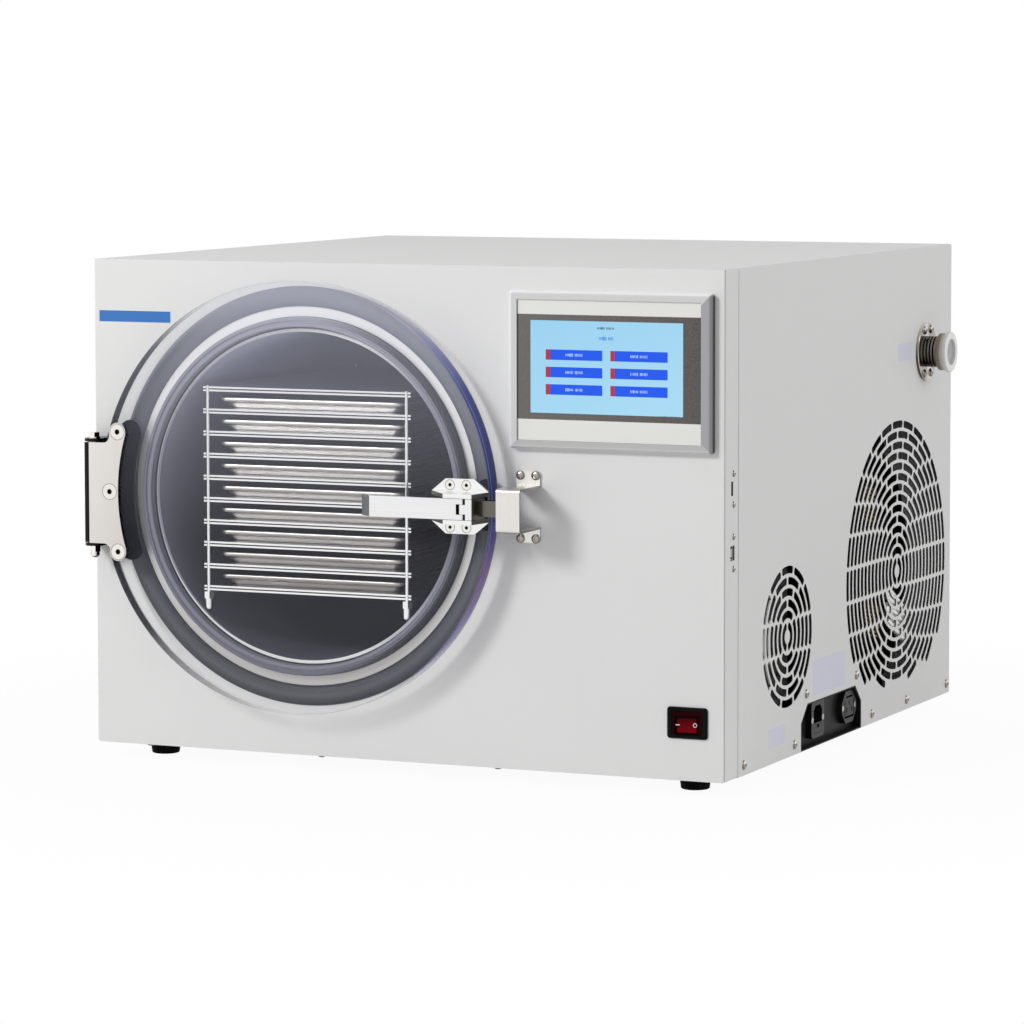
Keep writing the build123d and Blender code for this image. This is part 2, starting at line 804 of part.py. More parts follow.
with BuildPart() as screen_bezel:
    with BuildSketch(facing_front(front, screen_x, screen_z)):
        RectangleRounded(screen_width, screen_height, 3.0)
    extrude(amount=screen_proud)
    chamfer(screen_bezel.edges().group_by(Axis.Y)[0], 2.2)
    with BuildSketch(facing_front(front, screen_x, screen_z)):
        Rectangle(screen_width - 2 * screen_flange - fit_gap, screen_height - 2 * screen_flange - fit_gap)
    extrude(amount=-screen_depth)
    with BuildSketch(facing_front(overlay_back, overlay_x, screen_z)):
        Rectangle(overlay_width + fit_gap, screen_height - 2 * overlay_margin + fit_gap)
    extrude(amount=screen_proud, mode=Mode.SUBTRACT)
    # Well for the display behind the overlay
    with BuildSketch(display_place):
        Rectangle(display_width + 2 * display_edge, display_height + 2 * display_edge)
    extrude(amount=-display_thickness, mode=Mode.SUBTRACT)
write(screen_bezel, "screen_bezel")

with BuildPart() as screen_overlay:
    with BuildSketch(facing_front(overlay_back, overlay_x, screen_z)):
        Rectangle(overlay_width, screen_height - 2 * overlay_margin)
        with Locations((screen_x + display_shift - overlay_x, display_rise)):
            Rectangle(display_width, display_height, mode=Mode.SUBTRACT)
    extrude(amount=overlay_thickness)
write(screen_overlay, "screen_overlay")

with BuildPart() as display_panel:
    with BuildSketch(display_place):
        Rectangle(display_width + 2 * display_edge - fit_gap, display_height + 2 * display_edge - fit_gap)
    extrude(amount=-display_thickness)
    with BuildSketch(display_place):
        Rectangle(display_width - fit_gap, display_height - fit_gap)
    extrude(amount=overlay_thickness / 2)
write(display_panel, "display_panel")

rocker_pivot_y = front + 3.0
rocker_half = rocker_width / 2
rocker_radius = math.hypot(rocker_half, rocker_pivot_y - front)

with BuildPart() as switch_housing:
    with BuildSketch(facing_front(front, switch_x, switch_z)):
        RectangleRounded(switch_width, switch_height, 3.0)
    extrude(amount=switch_proud)
    chamfer(switch_housing.edges().group_by(Axis.Y)[0], 1.2)
    with BuildSketch(facing_front(front, switch_x, switch_z)):
        Rectangle(switch_width - 2 * switch_flange - fit_gap, switch_height - 2 * switch_flange - fit_gap)
    extrude(amount=-switch_depth)
    with BuildSketch(facing_front(front - switch_proud, switch_x, switch_z)):
        Rectangle(2 * rocker_radius + 4 * fit_gap, rocker_height + 2 * fit_gap)
    extrude(amount=-switch_depth + 8.0, mode=Mode.SUBTRACT)
    # Pin across the well that the rocker turns on
    with Locations((switch_x, rocker_pivot_y, switch_z)):
        Cylinder(rocker_pin_radius, rocker_height + 2.0)
write(switch_housing, "switch_housing")

with BuildPart() as switch_rocker:
    # Two faces meet in a shallow valley; the rocker is drawn level and then turned to its rest position.
    with BuildSketch(Plane((switch_x, rocker_pivot_y, switch_z - rocker_height / 2))):
        with BuildLine():
            valley = (0.0, -5.2)
            Polyline(
                (-rocker_half, -5.2 - rocker_half * math.tan(math.radians(rocker_tilt))),
                valley,
                (rocker_half, -5.2 - rocker_half * math.tan(math.radians(rocker_tilt))),
                (rocker_half, 0.0),
                (5.0, 6.0),
                (-5.0, 6.0),
                (-rocker_half, 0.0),
                close=True,
            )
        make_face()
        Circle(rocker_pin_radius + running_gap, mode=Mode.SUBTRACT)
    extrude(amount=rocker_height)
    tilt_axis = Axis((switch_x, rocker_pivot_y, switch_z), (0, 0, 1))
    turned = switch_rocker.part.rotate(tilt_axis, rocker_tilt)
    add(turned, mode=Mode.REPLACE)
write(switch_rocker, "switch_rocker")

# ---------------------------------------------------------------- vacuum chamber
shell_radius = chamber_radius + chamber_wall
rim_front = -rim_proud
chamber_back = rim_front + chamber_length
coil_start = saddle_ys[0] - front + saddle_thickness + 14.0
coil_finish = saddle_ys[1] - front - 14.0
coil_step = (coil_finish - coil_start) / (coil_rings - 1)
jacket_start = saddle_ys[0] - front + saddle_thickness + fit_gap
jacket_finish = saddle_ys[1] - front - saddle_thickness - fit_gap
coil_radius = shell_radius + coil_tube
header_spots = [
    (
        door_x + (coil_radius + header_tube) * math.cos(math.radians(angle)),
        door_z + (coil_radius + header_tube) * math.sin(math.radians(angle)),
    )
    for angle in header_angles
]

with BuildPart() as vacuum_chamber:
    with BuildSketch(chamber_section):
        with Locations((chamber_radius, rim_front)):
            Rectangle(chamber_wall, chamber_length, align=(Align.MIN, Align.MIN))
        with Locations((0, chamber_back)):
            Rectangle(shell_radius, chamber_end, align=(Align.MIN, Align.MIN))
    revolve(axis=chamber_axis)
    with BuildSketch(facing_rear(front + chamber_back, left + suction_x, base + port_z)):
        Circle(port_bore)
    extrude(amount=chamber_end, mode=Mode.SUBTRACT)
write(vacuum_chamber, "vacuum_chamber")

with BuildPart() as chamber_flange:
    # Slip-on flange welded around the chamber's mouth, with the groove that the seal sits in
    with BuildSketch(chamber_section):
        with Locations((shell_radius, rim_front)):
            Rectangle(rim_radius - shell_radius, rim_thickness, align=(Align.MIN, Align.MIN))
        with Locations((seal_inner, rim_front)):
            Rectangle(seal_outer - seal_inner, seal_seat, align=(Align.MIN, Align.MIN), mode=Mode.SUBTRACT)
    revolve(axis=chamber_axis)
write(chamber_flange, "chamber_flange")

with BuildPart() as door_seal:
    with BuildSketch(chamber_section):
        with Locations((seal_inner, -door_gap + seal_squeeze)):
            Rectangle(
                seal_outer - seal_inner, door_gap - seal_squeeze + rim_front + seal_seat,
                align=(Align.MIN, Align.MIN),
            )
            fillet(vertices().group_by(Axis.Y)[0], 1.6)
        # Groove that makes the two sealing lips
        with Locations(((seal_inner + seal_outer) / 2, -door_gap + seal_squeeze)):
            Circle(1.3, mode=Mode.SUBTRACT)
    revolve(axis=chamber_axis)
write(door_seal, "door_seal")

with BuildPart() as door_trim_ring:
    trim_inner = rim_radius + fit_gap
    with BuildSketch(chamber_section):
        with Locations(((trim_inner + trim_outer) / 2, 0)):
            Ellipse((trim_outer - trim_inner) / 2, trim_proud)
            Rectangle(trim_outer, 2 * trim_proud, align=(Align.CENTER, Align.MIN), mode=Mode.SUBTRACT)
        # Lip that grips the panel's round opening
        with Locations((trim_inner, -trim_proud / 2)):
            Rectangle(sheet - 2 * fit_gap, trim_proud / 2 + 3 * sheet, align=(Align.MIN, Align.MIN))
    revolve(axis=chamber_axis)
write(door_trim_ring, "door_trim_ring")

with BuildPart() as evaporator_coil:
    for ring in range(coil_rings):
        with BuildSketch(chamber_section):
            with Locations((coil_radius, coil_start + ring * coil_step)):
                Circle(coil_tube)
        revolve(axis=chamber_axis)
    # Header tubes that join the rings, one to feed them and one to draw from them
    for header_x, header_z in header_spots:
        with BuildSketch(facing_rear(front + coil_start - header_tube, header_x, header_z)):
            Circle(header_tube)
        extrude(amount=coil_finish - coil_start + 2 * header_tube)
write(evaporator_coil, "evaporator_coil")

with BuildPart() as chamber_insulation:
    with BuildSketch(chamber_section):
        with Locations((shell_radius, jacket_start)):
            Rectangle(insulation, jacket_finish - jacket_start, align=(Align.MIN, Align.MIN))
        for ring in range(coil_rings):
            with Locations((coil_radius, coil_start + ring * coil_step)):
                Circle(coil_tube, mode=Mode.SUBTRACT)
                Rectangle(2 * coil_tube, 2 * coil_tube, align=(Align.MAX, Align.CENTER), mode=Mode.SUBTRACT)
    revolve(axis=chamber_axis)
    for header_x, header_z in header_spots:
        with BuildSketch(facing_rear(front + coil_start - header_tube, header_x, header_z)):
            Rectangle(2 * header_tube + fit_gap, 2 * header_tube + fit_gap)
        extrude(amount=chamber_length, mode=Mode.SUBTRACT)
write(chamber_insulation, "chamber_insulation")

# ---------------------------------------------------------------- shelf rack and trays
shelf_depth_start = front + rack_setback
shelf_middle = shelf_depth_start + rack_depth / 2
shelf_zs = [base + rack_bottom + index * shelf_pitch for index in range(shelf_count)]
shelf_width = 2 * (rod_offset + shelf_overhang)
shelf_half = shelf_spacing / 2 + shelf_sheet / 2
rod_ys = (shelf_depth_start + rod_setback, shelf_depth_start + rack_depth - rod_setback)
rod_spots = [(door_x + side * rod_offset, y) for side in (-1, 1) for y in rod_ys]
# The rounded feet rest on the chamber's round wall.
rack_foot_reach = chamber_radius - rack_foot_radius - running_gap
rack_foot_z = door_z - math.sqrt(rack_foot_reach**2 - rod_offset**2)
nut_low = shelf_zs[0] - shelf_half - nut_gap - nut_height
rod_top = shelf_zs[-1] + shelf_half + rod_proud

with BuildPart() as shelf_plates:
    for shelf_z in shelf_zs:
        for sheet_z in (shelf_z - shelf_spacing / 2, shelf_z + shelf_spacing / 2):
            with BuildSketch(Plane((door_x, shelf_middle, sheet_z - shelf_sheet / 2))):
                Rectangle(shelf_width, rack_depth)
                with Locations(*[(x - door_x, y - shelf_middle) for x, y in rod_spots]):
                    Circle(rod_radius, mode=Mode.SUBTRACT)
            extrude(amount=shelf_sheet)
write(shelf_plates, "shelf_plates")

with BuildPart() as shelf_heaters:
    for shelf_z in shelf_zs:
        with Locations((door_x, shelf_middle, shelf_z)):
            Box(2 * rod_offset - 12.0, rack_depth - 16.0, shelf_spacing - shelf_sheet)
write(shelf_heaters, "shelf_heaters")

with BuildPart() as rack_rods:
    for x, y in rod_spots:
        with Locations((x, y, rack_foot_z)):
            Sphere(rack_foot_radius)
            Cylinder(
                rack_foot_radius, nut_low - rack_foot_z, align=(Align.CENTER, Align.CENTER, Align.MIN)
            )
            Cylinder(rod_radius, rod_top - rack_foot_z, align=(Align.CENTER, Align.CENTER, Align.MIN))
        with BuildSketch(Plane((x, y, nut_low))):
            RegularPolygon(nut_across / 2, 6, major_radius=False)
        extrude(amount=nut_height)
write(rack_rods, "rack_rods")


def tray(tray_z):
    """Shallow baking-sheet tray: tapered pan with a rolled rim, standing at height tray_z."""
    rim_z = tray_z + tray_height - tray_rim
    rim_inner_width = tray_width - 2 * tray_rim
    rim_inner_length = tray_length - 2 * tray_rim
    with BuildPart() as pan:
        with BuildSketch(Plane((door_x, tray_middle, tray_z))):
            RectangleRounded(tray_width - 2 * tray_taper, tray_length - 2 * tray_taper, tray_corner)
        with BuildSketch(Plane((door_x, tray_middle, rim_z))):
            RectangleRounded(rim_inner_width + 2 * tray_wall, rim_inner_length + 2 * tray_wall, tray_corner)
        loft()
        with BuildSketch(Plane((door_x, tray_middle, rim_z))):
            RectangleRounded(tray_width, tray_length, tray_corner + tray_rim)
        extrude(amount=tray_rim)
        fillet(pan.faces().sort_by(Axis.Z)[-1].outer_wire().edges(), tray_rim / 2 - 0.2)
        with BuildSketch(Plane((door_x, tray_middle, tray_z + tray_wall))):
            RectangleRounded(
                tray_width - 2 * tray_taper - 2 * tray_wall, tray_length - 2 * tray_taper - 2 * tray_wall,
                tray_corner - tray_wall,
            )
        with BuildSketch(Plane((door_x, tray_middle, rim_z))):
            RectangleRounded(rim_inner_width, rim_inner_length, tray_corner - tray_wall)
        loft(mode=Mode.SUBTRACT)
        with BuildSketch(Plane((door_x, tray_middle, rim_z))):
            RectangleRounded(rim_inner_width, rim_inner_length, tray_corner - tray_wall)
        extrude(amount=tray_rim, mode=Mode.SUBTRACT)
    return pan


tray_middle = shelf_depth_start + rod_setback + 6.0 + tray_length / 2
for number in range(1, shelf_count):
    write(tray(shelf_zs[number - 1] + shelf_half), f"tray_{number}")

# ---------------------------------------------------------------- door
pin_x = left + pin_from_left
pin_y = front - pin_forward
hinge_angles = [180.0 - hinge_screw_angle, 180.0, 180.0 + hinge_screw_angle]
hinge_spots = [
    (
        door_x + hinge_screw_circle * math.cos(math.radians(angle)),
        door_z + hinge_screw_circle * math.sin(math.radians(angle)),
    )
    for angle in hinge_angles
]
latch_spots = [
    (left + x, door_z + side * latch_screw_rise) for x in latch_screw_xs for side in (-1, 1)
]

with BuildPart() as door_disc:
    with BuildSketch(facing_front(door_back, door_x, door_z)):
        Circle(door_radius)
        with Locations(*[(x - door_x, z - door_z) for x, z in hinge_spots]):
            Circle(hinge_shank_radius, mode=Mode.SUBTRACT)
    extrude(amount=door_thickness)
    chamfer(door_disc.edges().filter_by(GeomType.CIRCLE).filter_by(lambda edge: edge.radius > pad_outer), 1.2)
    with Locations(*[facing_front(door_face, x, z) for x, z in latch_spots]):
        Hole(latch_shank_radius, latch_screw_depth)
write(door_disc, "door_disc")

with BuildPart() as hinge_plate:
    with BuildSketch(facing_front(door_face, left, base)):
        lobe_radius = hinge_head_radius + lobe_rim
        with Locations((plate_from_left, plate_low)):
            Rectangle(plate_width, plate_high - plate_low, align=(Align.MIN, Align.MIN))
        # Lobes around the outer screws, carried to the plate by a straight web
        for (spot_x, spot_z), web_side in ((hinge_spots[0], Align.MAX), (hinge_spots[-1], Align.MIN)):
            with Locations((spot_x - left, spot_z - base)):
                Circle(lobe_radius)
                Rectangle(2 * lobe_radius, web_length, align=(Align.CENTER, web_side))
        web_left = hinge_spots[0][0] - left - lobe_radius
        necks = vertices().filter_by_position(Axis.X, web_left - running_gap, web_left + running_gap)
        necks = necks.filter_by_position(Axis.Y, plate_low - running_gap, plate_high + running_gap)
        fillet(necks, neck_fillet)
        with Locations((door_from_left, door_from_base)):
            Circle(plate_arc_radius, mode=Mode.SUBTRACT)
    extrude(amount=plate_thickness)
    with Locations(*[facing_front(plate_face, x, z) for x, z in hinge_spots]):
        CounterSinkHole(hinge_shank_radius, hinge_head_radius, counter_sink_angle=csk_angle)
write(hinge_plate, "hinge_plate")


with BuildPart() as hinge_screws:
    csk_depth = (hinge_head_radius - hinge_shank_radius) / math.tan(math.radians(csk_angle / 2))
    with Locations(*[facing_front(plate_face, x, z) for x, z in hinge_spots]):
        Cone(
            hinge_shank_radius, hinge_head_radius - 0.15, csk_depth,
            align=(Align.CENTER, Align.CENTER, Align.MAX),
        )
        Cylinder(
            hinge_shank_radius, plate_thickness + door_thickness + pad_thickness,
            align=(Align.CENTER, Align.CENTER, Align.MAX),
        )
    for x, z in hinge_spots:
        with BuildSketch(facing_front(plate_face, x, z)):
            RegularPolygon(hinge_hex / 2, 6, major_radius=False)
        extrude(amount=-hex_depth, mode=Mode.SUBTRACT)
write(hinge_screws, "hinge_screws")


def ring_band(inner, outer, middle_angle, half_angle):
    """Sketch of a band around the door's centre with rounded ends."""
    middle = (inner + outer) / 2
    with BuildSketch() as band:
        with BuildLine():
            CenterArc((0, 0), middle, middle_angle - half_angle, 2 * half_angle)
        trace(line_width=outer - inner)
        for end_angle in (middle_angle - half_angle, middle_angle + half_angle):
            with Locations(
                (middle * math.cos(math.radians(end_angle)), middle * math.sin(math.radians(end_angle)))
            ):
                Circle((outer - inner) / 2)
    return band.sketch


with BuildPart() as clamp_pads:
    cap_angle = math.degrees((pad_outer - pad_inner) / (pad_outer + pad_inner))
    with BuildSketch(facing_front(door_back, door_x, door_z)):
        add(ring_band(pad_inner, pad_outer, 180.0, hinge_pad_angle - cap_angle))
        with Locations(*[(x - door_x, z - door_z) for x, z in hinge_spots]):
            Circle(hinge_shank_radius, mode=Mode.SUBTRACT)
    extrude(amount=-pad_thickness)
    with BuildSketch(facing_front(door_back, door_x, door_z)):
        add(ring_band(pad_inner + 3.0, pad_outer, 0.0, latch_pad_angle - cap_angle))
    extrude(amount=-pad_thickness)
write(clamp_pads, "clamp_pads")

block_low = base + plate_low + block_gap
block_high = base + plate_high - block_gap

with BuildPart() as hinge_block:
    with BuildSketch(Plane((pin_x, pin_y, block_low))):
        with BuildLine():
            Polyline(
                (-block_half, door_face - pin_y),
                (block_half, door_face - pin_y),
                (block_half, block_back - block_bevel),
                (block_half - block_bevel, block_back),
                (block_bevel - block_half, block_back),
                (-block_half, block_back - block_bevel),
                close=True,
            )
        make_face()
        Circle(pin_radius + running_gap, mode=Mode.SUBTRACT)
    extrude(amount=block_high - block_low)
write(hinge_block, "hinge_block")

with BuildPart() as hinge_bracket:
    with BuildSketch(facing_front(front, pin_x - ear_radius, base + plate_low - block_gap - ear_thickness)):
        Rectangle(
            bracket_width, plate_high - plate_low + 2 * block_gap + 2 * ear_thickness,
            align=(Align.MIN, Align.MIN),
        )
    extrude(amount=bracket_sheet)
    for ear_z in (base + plate_low - block_gap - ear_thickness, base + plate_high + block_gap):
        with BuildSketch(Plane((pin_x, pin_y, ear_z))):
            Circle(ear_radius)
            Rectangle(2 * ear_radius, pin_forward, align=(Align.CENTER, Align.MIN))
            with Locations((0, pin_forward)):
                Rectangle(bracket_width - ear_radius, 9.0, align=(Align.MIN, Align.MAX))
            Circle(pin_radius, mode=Mode.SUBTRACT)
        extrude(amount=ear_thickness)
    with Locations(*bracket_places):
        Cylinder(screw_radius + fit_gap, 4 * sheet, mode=Mode.SUBTRACT)
write(hinge_bracket, "hinge_bracket")

with BuildPart() as hinge_pin:
    ear_top = base + plate_high + block_gap + ear_thickness
    ear_bottom = base + plate_low - block_gap - ear_thickness
    # Domed nut below the lower ear, a solid of its own
    with BuildSketch(Plane((pin_x, pin_y, ear_bottom - cap_nut_height))):
        RegularPolygon(bolt_across / 2, 6, major_radius=False)
    extrude(amount=cap_nut_height)
    with Locations((pin_x, pin_y, ear_bottom - cap_nut_height)):
        Cylinder(dome_radius, dome_neck, align=(Align.CENTER, Align.CENTER, Align.MAX))
    with Locations((pin_x, pin_y, ear_bottom - cap_nut_height - dome_neck)):
        Sphere(dome_radius, arc_size2=0)
    with Locations((pin_x, pin_y, ear_bottom)):
        Cylinder(
            pin_radius + running_gap, pin_tail + fit_gap,
            align=(Align.CENTER, Align.CENTER, Align.MAX), mode=Mode.SUBTRACT,
        )
    # Pin with its washer and head above the upper ear
    with Locations((pin_x, pin_y, ear_top)):
        Cylinder(
            bolt_across / 2 + washer_edge, washer_thickness,
            align=(Align.CENTER, Align.CENTER, Align.MIN),
        )
        Cylinder(pin_radius, ear_top - ear_bottom + pin_tail, align=(Align.CENTER, Align.CENTER, Align.MAX))
    with BuildSketch(Plane((pin_x, pin_y, ear_top + washer_thickness))):
        RegularPolygon(bolt_across / 2, 6, major_radius=False)
    extrude(amount=bolt_head)
write(hinge_pin, "hinge_pin")

# ---------------------------------------------------------------- latch
latch_z = door_z
knuckle_x = left + knuckle_from_left
knuckle_y = front - latch_reach + knuckle_radius
handle_low = latch_z - handle_height / 2
flange_low = latch_z + handle_height / 2 + latch_clearance
latch_base_face = door_face - plate_thickness
flange_fronts = (401.7, 431.0)

with BuildPart() as latch_base:
    with BuildSketch(facing_front(door_face, left, latch_z)):
        with BuildLine():
            half_wide = flange_low - latch_z + latch_flange
            half_tall = latch_base_height / 2
            Polyline(
                (latch_base_left, -half_wide),
                (latch_base_left, half_wide),
                (latch_base_left + latch_slope, half_tall),
                (latch_base_right - latch_slope, half_tall),
                (latch_base_right, half_wide),
                (latch_base_right, -half_wide),
                (latch_base_right - latch_slope, -half_tall),
                (latch_base_left + latch_slope, -half_tall),
                close=True,
            )
        make_face()
    extrude(amount=plate_thickness)
    for flange_z in (flange_low, 2 * latch_z - flange_low - latch_flange):
        with BuildSketch(Plane((left, front, flange_z))):
            with BuildLine():
                Polyline(
                    (latch_base_left, latch_base_face - front),
                    (flange_fronts[0], -latch_reach),
                    (flange_fronts[1], -latch_reach),
                    (latch_base_right, latch_base_face - front),
                    close=True,
                )
            make_face()
            with Locations(*[(x, guide_y - front) for x in guide_xs]):
                Circle(guide_pin_radius, mode=Mode.SUBTRACT)
        extrude(amount=latch_flange)
    with Locations(*[facing_front(latch_base_face, x, z) for x, z in latch_spots]):
        CounterSinkHole(latch_shank_radius, latch_head_radius, counter_sink_angle=csk_angle)
write(latch_base, "latch_base")

with BuildPart() as latch_screws:
    latch_csk_depth = (latch_head_radius - latch_shank_radius) / math.tan(math.radians(csk_angle / 2))
    with Locations(*[facing_front(latch_base_face, x, z) for x, z in latch_spots]):
        Cone(
            latch_shank_radius, latch_head_radius - 0.15, latch_csk_depth,
            align=(Align.CENTER, Align.CENTER, Align.MAX),
        )
        Cylinder(
            latch_shank_radius, plate_thickness + latch_screw_depth - 1.0,
            align=(Align.CENTER, Align.CENTER, Align.MAX),
        )
    for x, z in latch_spots:
        with BuildSketch(facing_front(latch_base_face, x, z)):
            RegularPolygon(latch_hex / 2, 6, major_radius=False)
        extrude(amount=-hex_depth / 2, mode=Mode.SUBTRACT)
write(latch_screws, "latch_screws")

with BuildPart() as latch_pins:
    with Locations(*[(left + x, guide_y, 2 * latch_z - flange_low - latch_flange) for x in guide_xs]):
        Cylinder(
            guide_pin_radius, 2 * (flange_low + latch_flange - latch_z),
            align=(Align.CENTER, Align.CENTER, Align.MIN),
        )
write(latch_pins, "latch_pins")

with BuildPart() as latch_handle:
    with BuildSketch(Plane((knuckle_x, knuckle_y, handle_low))):
        with BuildLine():
            reach = handle_length - knuckle_radius
            Polyline(
                (0.0, -knuckle_radius),
                (-reach + handle_bevel, -knuckle_radius),
                (-reach, handle_thickness - knuckle_radius),
                (-knuckle_taper, handle_thickness - knuckle_radius),
                (-knuckle_taper + 4.0, knuckle_radius),
                (0.0, knuckle_radius),
                close=True,
            )
        make_face()
        Circle(knuckle_radius)
        Circle(knuckle_pin_radius + running_gap, mode=Mode.SUBTRACT)
    extrude(amount=handle_height)
    # Gap for the tongue's tab between the two ears
    with BuildSketch(facing_front(knuckle_y - 2 * knuckle_radius, knuckle_x, latch_z)):
        Rectangle(2 * (knuckle_radius + knuckle_gap), tab_height + 2 * latch_clearance)
    extrude(amount=-4 * knuckle_radius, mode=Mode.SUBTRACT)
write(latch_handle, "latch_handle")

with BuildPart() as latch_tongue:
    bolt_low = latch_z - tongue_height / 2
    # Tab between the handle's ears, with its pin
    with BuildSketch(Plane((knuckle_x, knuckle_y, latch_z - tab_height / 2))):
        Circle(knuckle_radius)
        Rectangle(knuckle_radius + knuckle_gap, 2 * knuckle_radius, align=(Align.MIN, Align.CENTER))
    extrude(amount=tab_height)
    with Locations((knuckle_x, knuckle_y, handle_low + 0.2)):
        Cylinder(knuckle_pin_radius, handle_height - 0.4, align=(Align.CENTER, Align.CENTER, Align.MIN))
    # Head in line with the handle
    with BuildSketch(Plane((left, front, handle_low))):
        with BuildLine():
            head_left = knuckle_from_left + knuckle_radius + knuckle_gap
            Polyline(
                (head_left, -latch_reach),
                (flange_fronts[1], -latch_reach),
                (flange_fronts[1] + 5.0, -tongue_forward),
                (flange_fronts[1] + 8.0, -tongue_forward + tongue_thickness),
                (head_left, -tongue_forward + tongue_thickness),
                close=True,
            )
        make_face()
    extrude(amount=handle_height)
    # Sliding bolt with the long slot that the guide pins run in
    with BuildSketch(Plane((left, front, bolt_low))):
        with BuildLine():
            bolt_left = guide_xs[0] - 11.0
            bolt_back = -tongue_forward + tongue_thickness
            Polyline(
                (bolt_left, -tongue_forward),
                (tongue_tip, -tongue_forward),
                (tongue_tip, bolt_back - 4.0),
                (tongue_tip - 6.0, bolt_back),
                (bolt_left, bolt_back),
                close=True,
            )
        make_face()
    extrude(amount=tongue_height)
    with BuildSketch(Plane((left, guide_y, bolt_low - handle_height))):
        with Locations(((guide_xs[0] + guide_xs[1] + tongue_travel) / 2, 0)):
            SlotCenterToCenter(
                guide_xs[1] - guide_xs[0] + tongue_travel, 2 * (guide_pin_radius + running_gap)
            )
    extrude(amount=3 * handle_height, mode=Mode.SUBTRACT)
write(latch_tongue, "latch_tongue")

with BuildPart() as keeper:
    keeper_low = door_z - keeper_drop - keeper_height / 2
    with BuildSketch(facing_right(left + keeper_from_left, front, keeper_low)):
        Rectangle(keeper_reach, keeper_height, align=(Align.MAX, Align.MIN))
        with Locations((0, keeper_height / 2)):
            Rectangle(keeper_sheet, keeper_height + 2 * keeper_ear, align=(Align.MAX, Align.CENTER))
        with Locations((0, keeper_sheet)):
            Rectangle(
                keeper_reach - keeper_sheet, keeper_height - 2 * keeper_sheet,
                align=(Align.MAX, Align.MIN), mode=Mode.SUBTRACT,
            )
        fillet(vertices().group_by(Axis.X)[0], 3.0)
    extrude(amount=keeper_width)
    fillet(keeper.edges().filter_by(Axis.Y).group_by(Axis.Z)[-1], 3.0)
    fillet(keeper.edges().filter_by(Axis.Y).group_by(Axis.Z)[0], 3.0)
    with Locations(*keeper_places):
        Cylinder(screw_radius + fit_gap, 4 * sheet, mode=Mode.SUBTRACT)
write(keeper, "keeper")

# ---------------------------------------------------------------- refrigeration
floor_z = base + sheet
condenser_back = wall - condenser_setback
condenser_face = condenser_back + condenser_thickness
condenser_y = front + big_vent_y
fan_z = base + big_vent_z
tube_x = condenser_back + condenser_thickness / 2
tube_step = condenser_height / tube_rows
first_tube = floor_z + tube_step / 2
last_tube = first_tube + (tube_rows - 1) * tube_step
tank_offset = condenser_width / 2 + tank_radius + fit_gap
tube_end = condenser_y - tank_offset - tank_radius - pipe_stub
fan_x = condenser_face + shroud_thickness + fan_depth / 2 + 1.0

with BuildPart() as compressor:
    compressor_low = floor_z + mount_height
    with Locations((left + compressor_x, front + compressor_y, compressor_low)):
        Cylinder(compressor_radius, compressor_height, align=(Align.CENTER, Align.CENTER, Align.MIN))
    fillet(compressor.edges().filter_by(GeomType.CIRCLE), 18.0)
    with Locations((left + compressor_x, front + compressor_y, compressor_low + compressor_height * 0.55)):
        Cylinder(compressor_radius + 2.5, 6.0)
    # Foot plate on the four rubber mounts
    with BuildSketch(Plane((left + compressor_x, front + compressor_y, compressor_low))):
        RectangleRounded(2 * mount_spread + 30.0, 2 * mount_spread + 30.0, 14.0)
        with GridLocations(2 * mount_spread, 2 * mount_spread, 2, 2):
            Circle(mount_neck, mode=Mode.SUBTRACT)
    extrude(amount=3.0)
write(compressor, "compressor")

with BuildPart() as compressor_mounts:
    with Locations((left + compressor_x, front + compressor_y, floor_z)):
        with GridLocations(2 * mount_spread, 2 * mount_spread, 2, 2):
            Cylinder(mount_neck + 4.0, mount_height, align=(Align.CENTER, Align.CENTER, Align.MIN))
            Cylinder(mount_neck, mount_height + 6.0, align=(Align.CENTER, Align.CENTER, Align.MIN))
write(compressor_mounts, "compressor_mounts")

with BuildPart() as condenser:
    fin_step = (condenser_width - 2 * end_plate) / (condenser_fins + 1)
    fin_height = condenser_height - 2 * fin_margin
    with BuildSketch(facing_right(condenser_back, condenser_y, floor_z)):
        for side in (-1, 1):
            with Locations((side * (condenser_width - end_plate) / 2, 0)):
                Rectangle(end_plate, condenser_height, align=(Align.CENTER, Align.MIN))
        with Locations((0, fin_margin + fin_height / 2)):
            with GridLocations(fin_step, 0, condenser_fins, 1):
                Rectangle(fin_thickness, fin_height)
    extrude(amount=condenser_thickness)
    # Rows of tubes through the fins, a header tank at each end and two stubs on the near tank
    for row in range(tube_rows):
        tube_z = first_tube + row * tube_step
        with Locations(facing_rear(condenser_y - tank_offset, tube_x, tube_z)):
            Cylinder(pipe_radius, 2 * tank_offset, align=(Align.CENTER, Align.CENTER, Align.MIN))
    for side in (-1, 1):
        with Locations((tube_x, condenser_y + side * tank_offset, (first_tube + last_tube) / 2)):
            Cylinder(tank_radius, last_tube - first_tube + 4 * tank_radius)
    for stub_z in (first_tube, last_tube):
        with Locations(facing_rear(tube_end, tube_x, stub_z)):
            Cylinder(pipe_radius, tank_radius + pipe_stub, align=(Align.CENTER, Align.CENTER, Align.MIN))
write(condenser, "condenser")

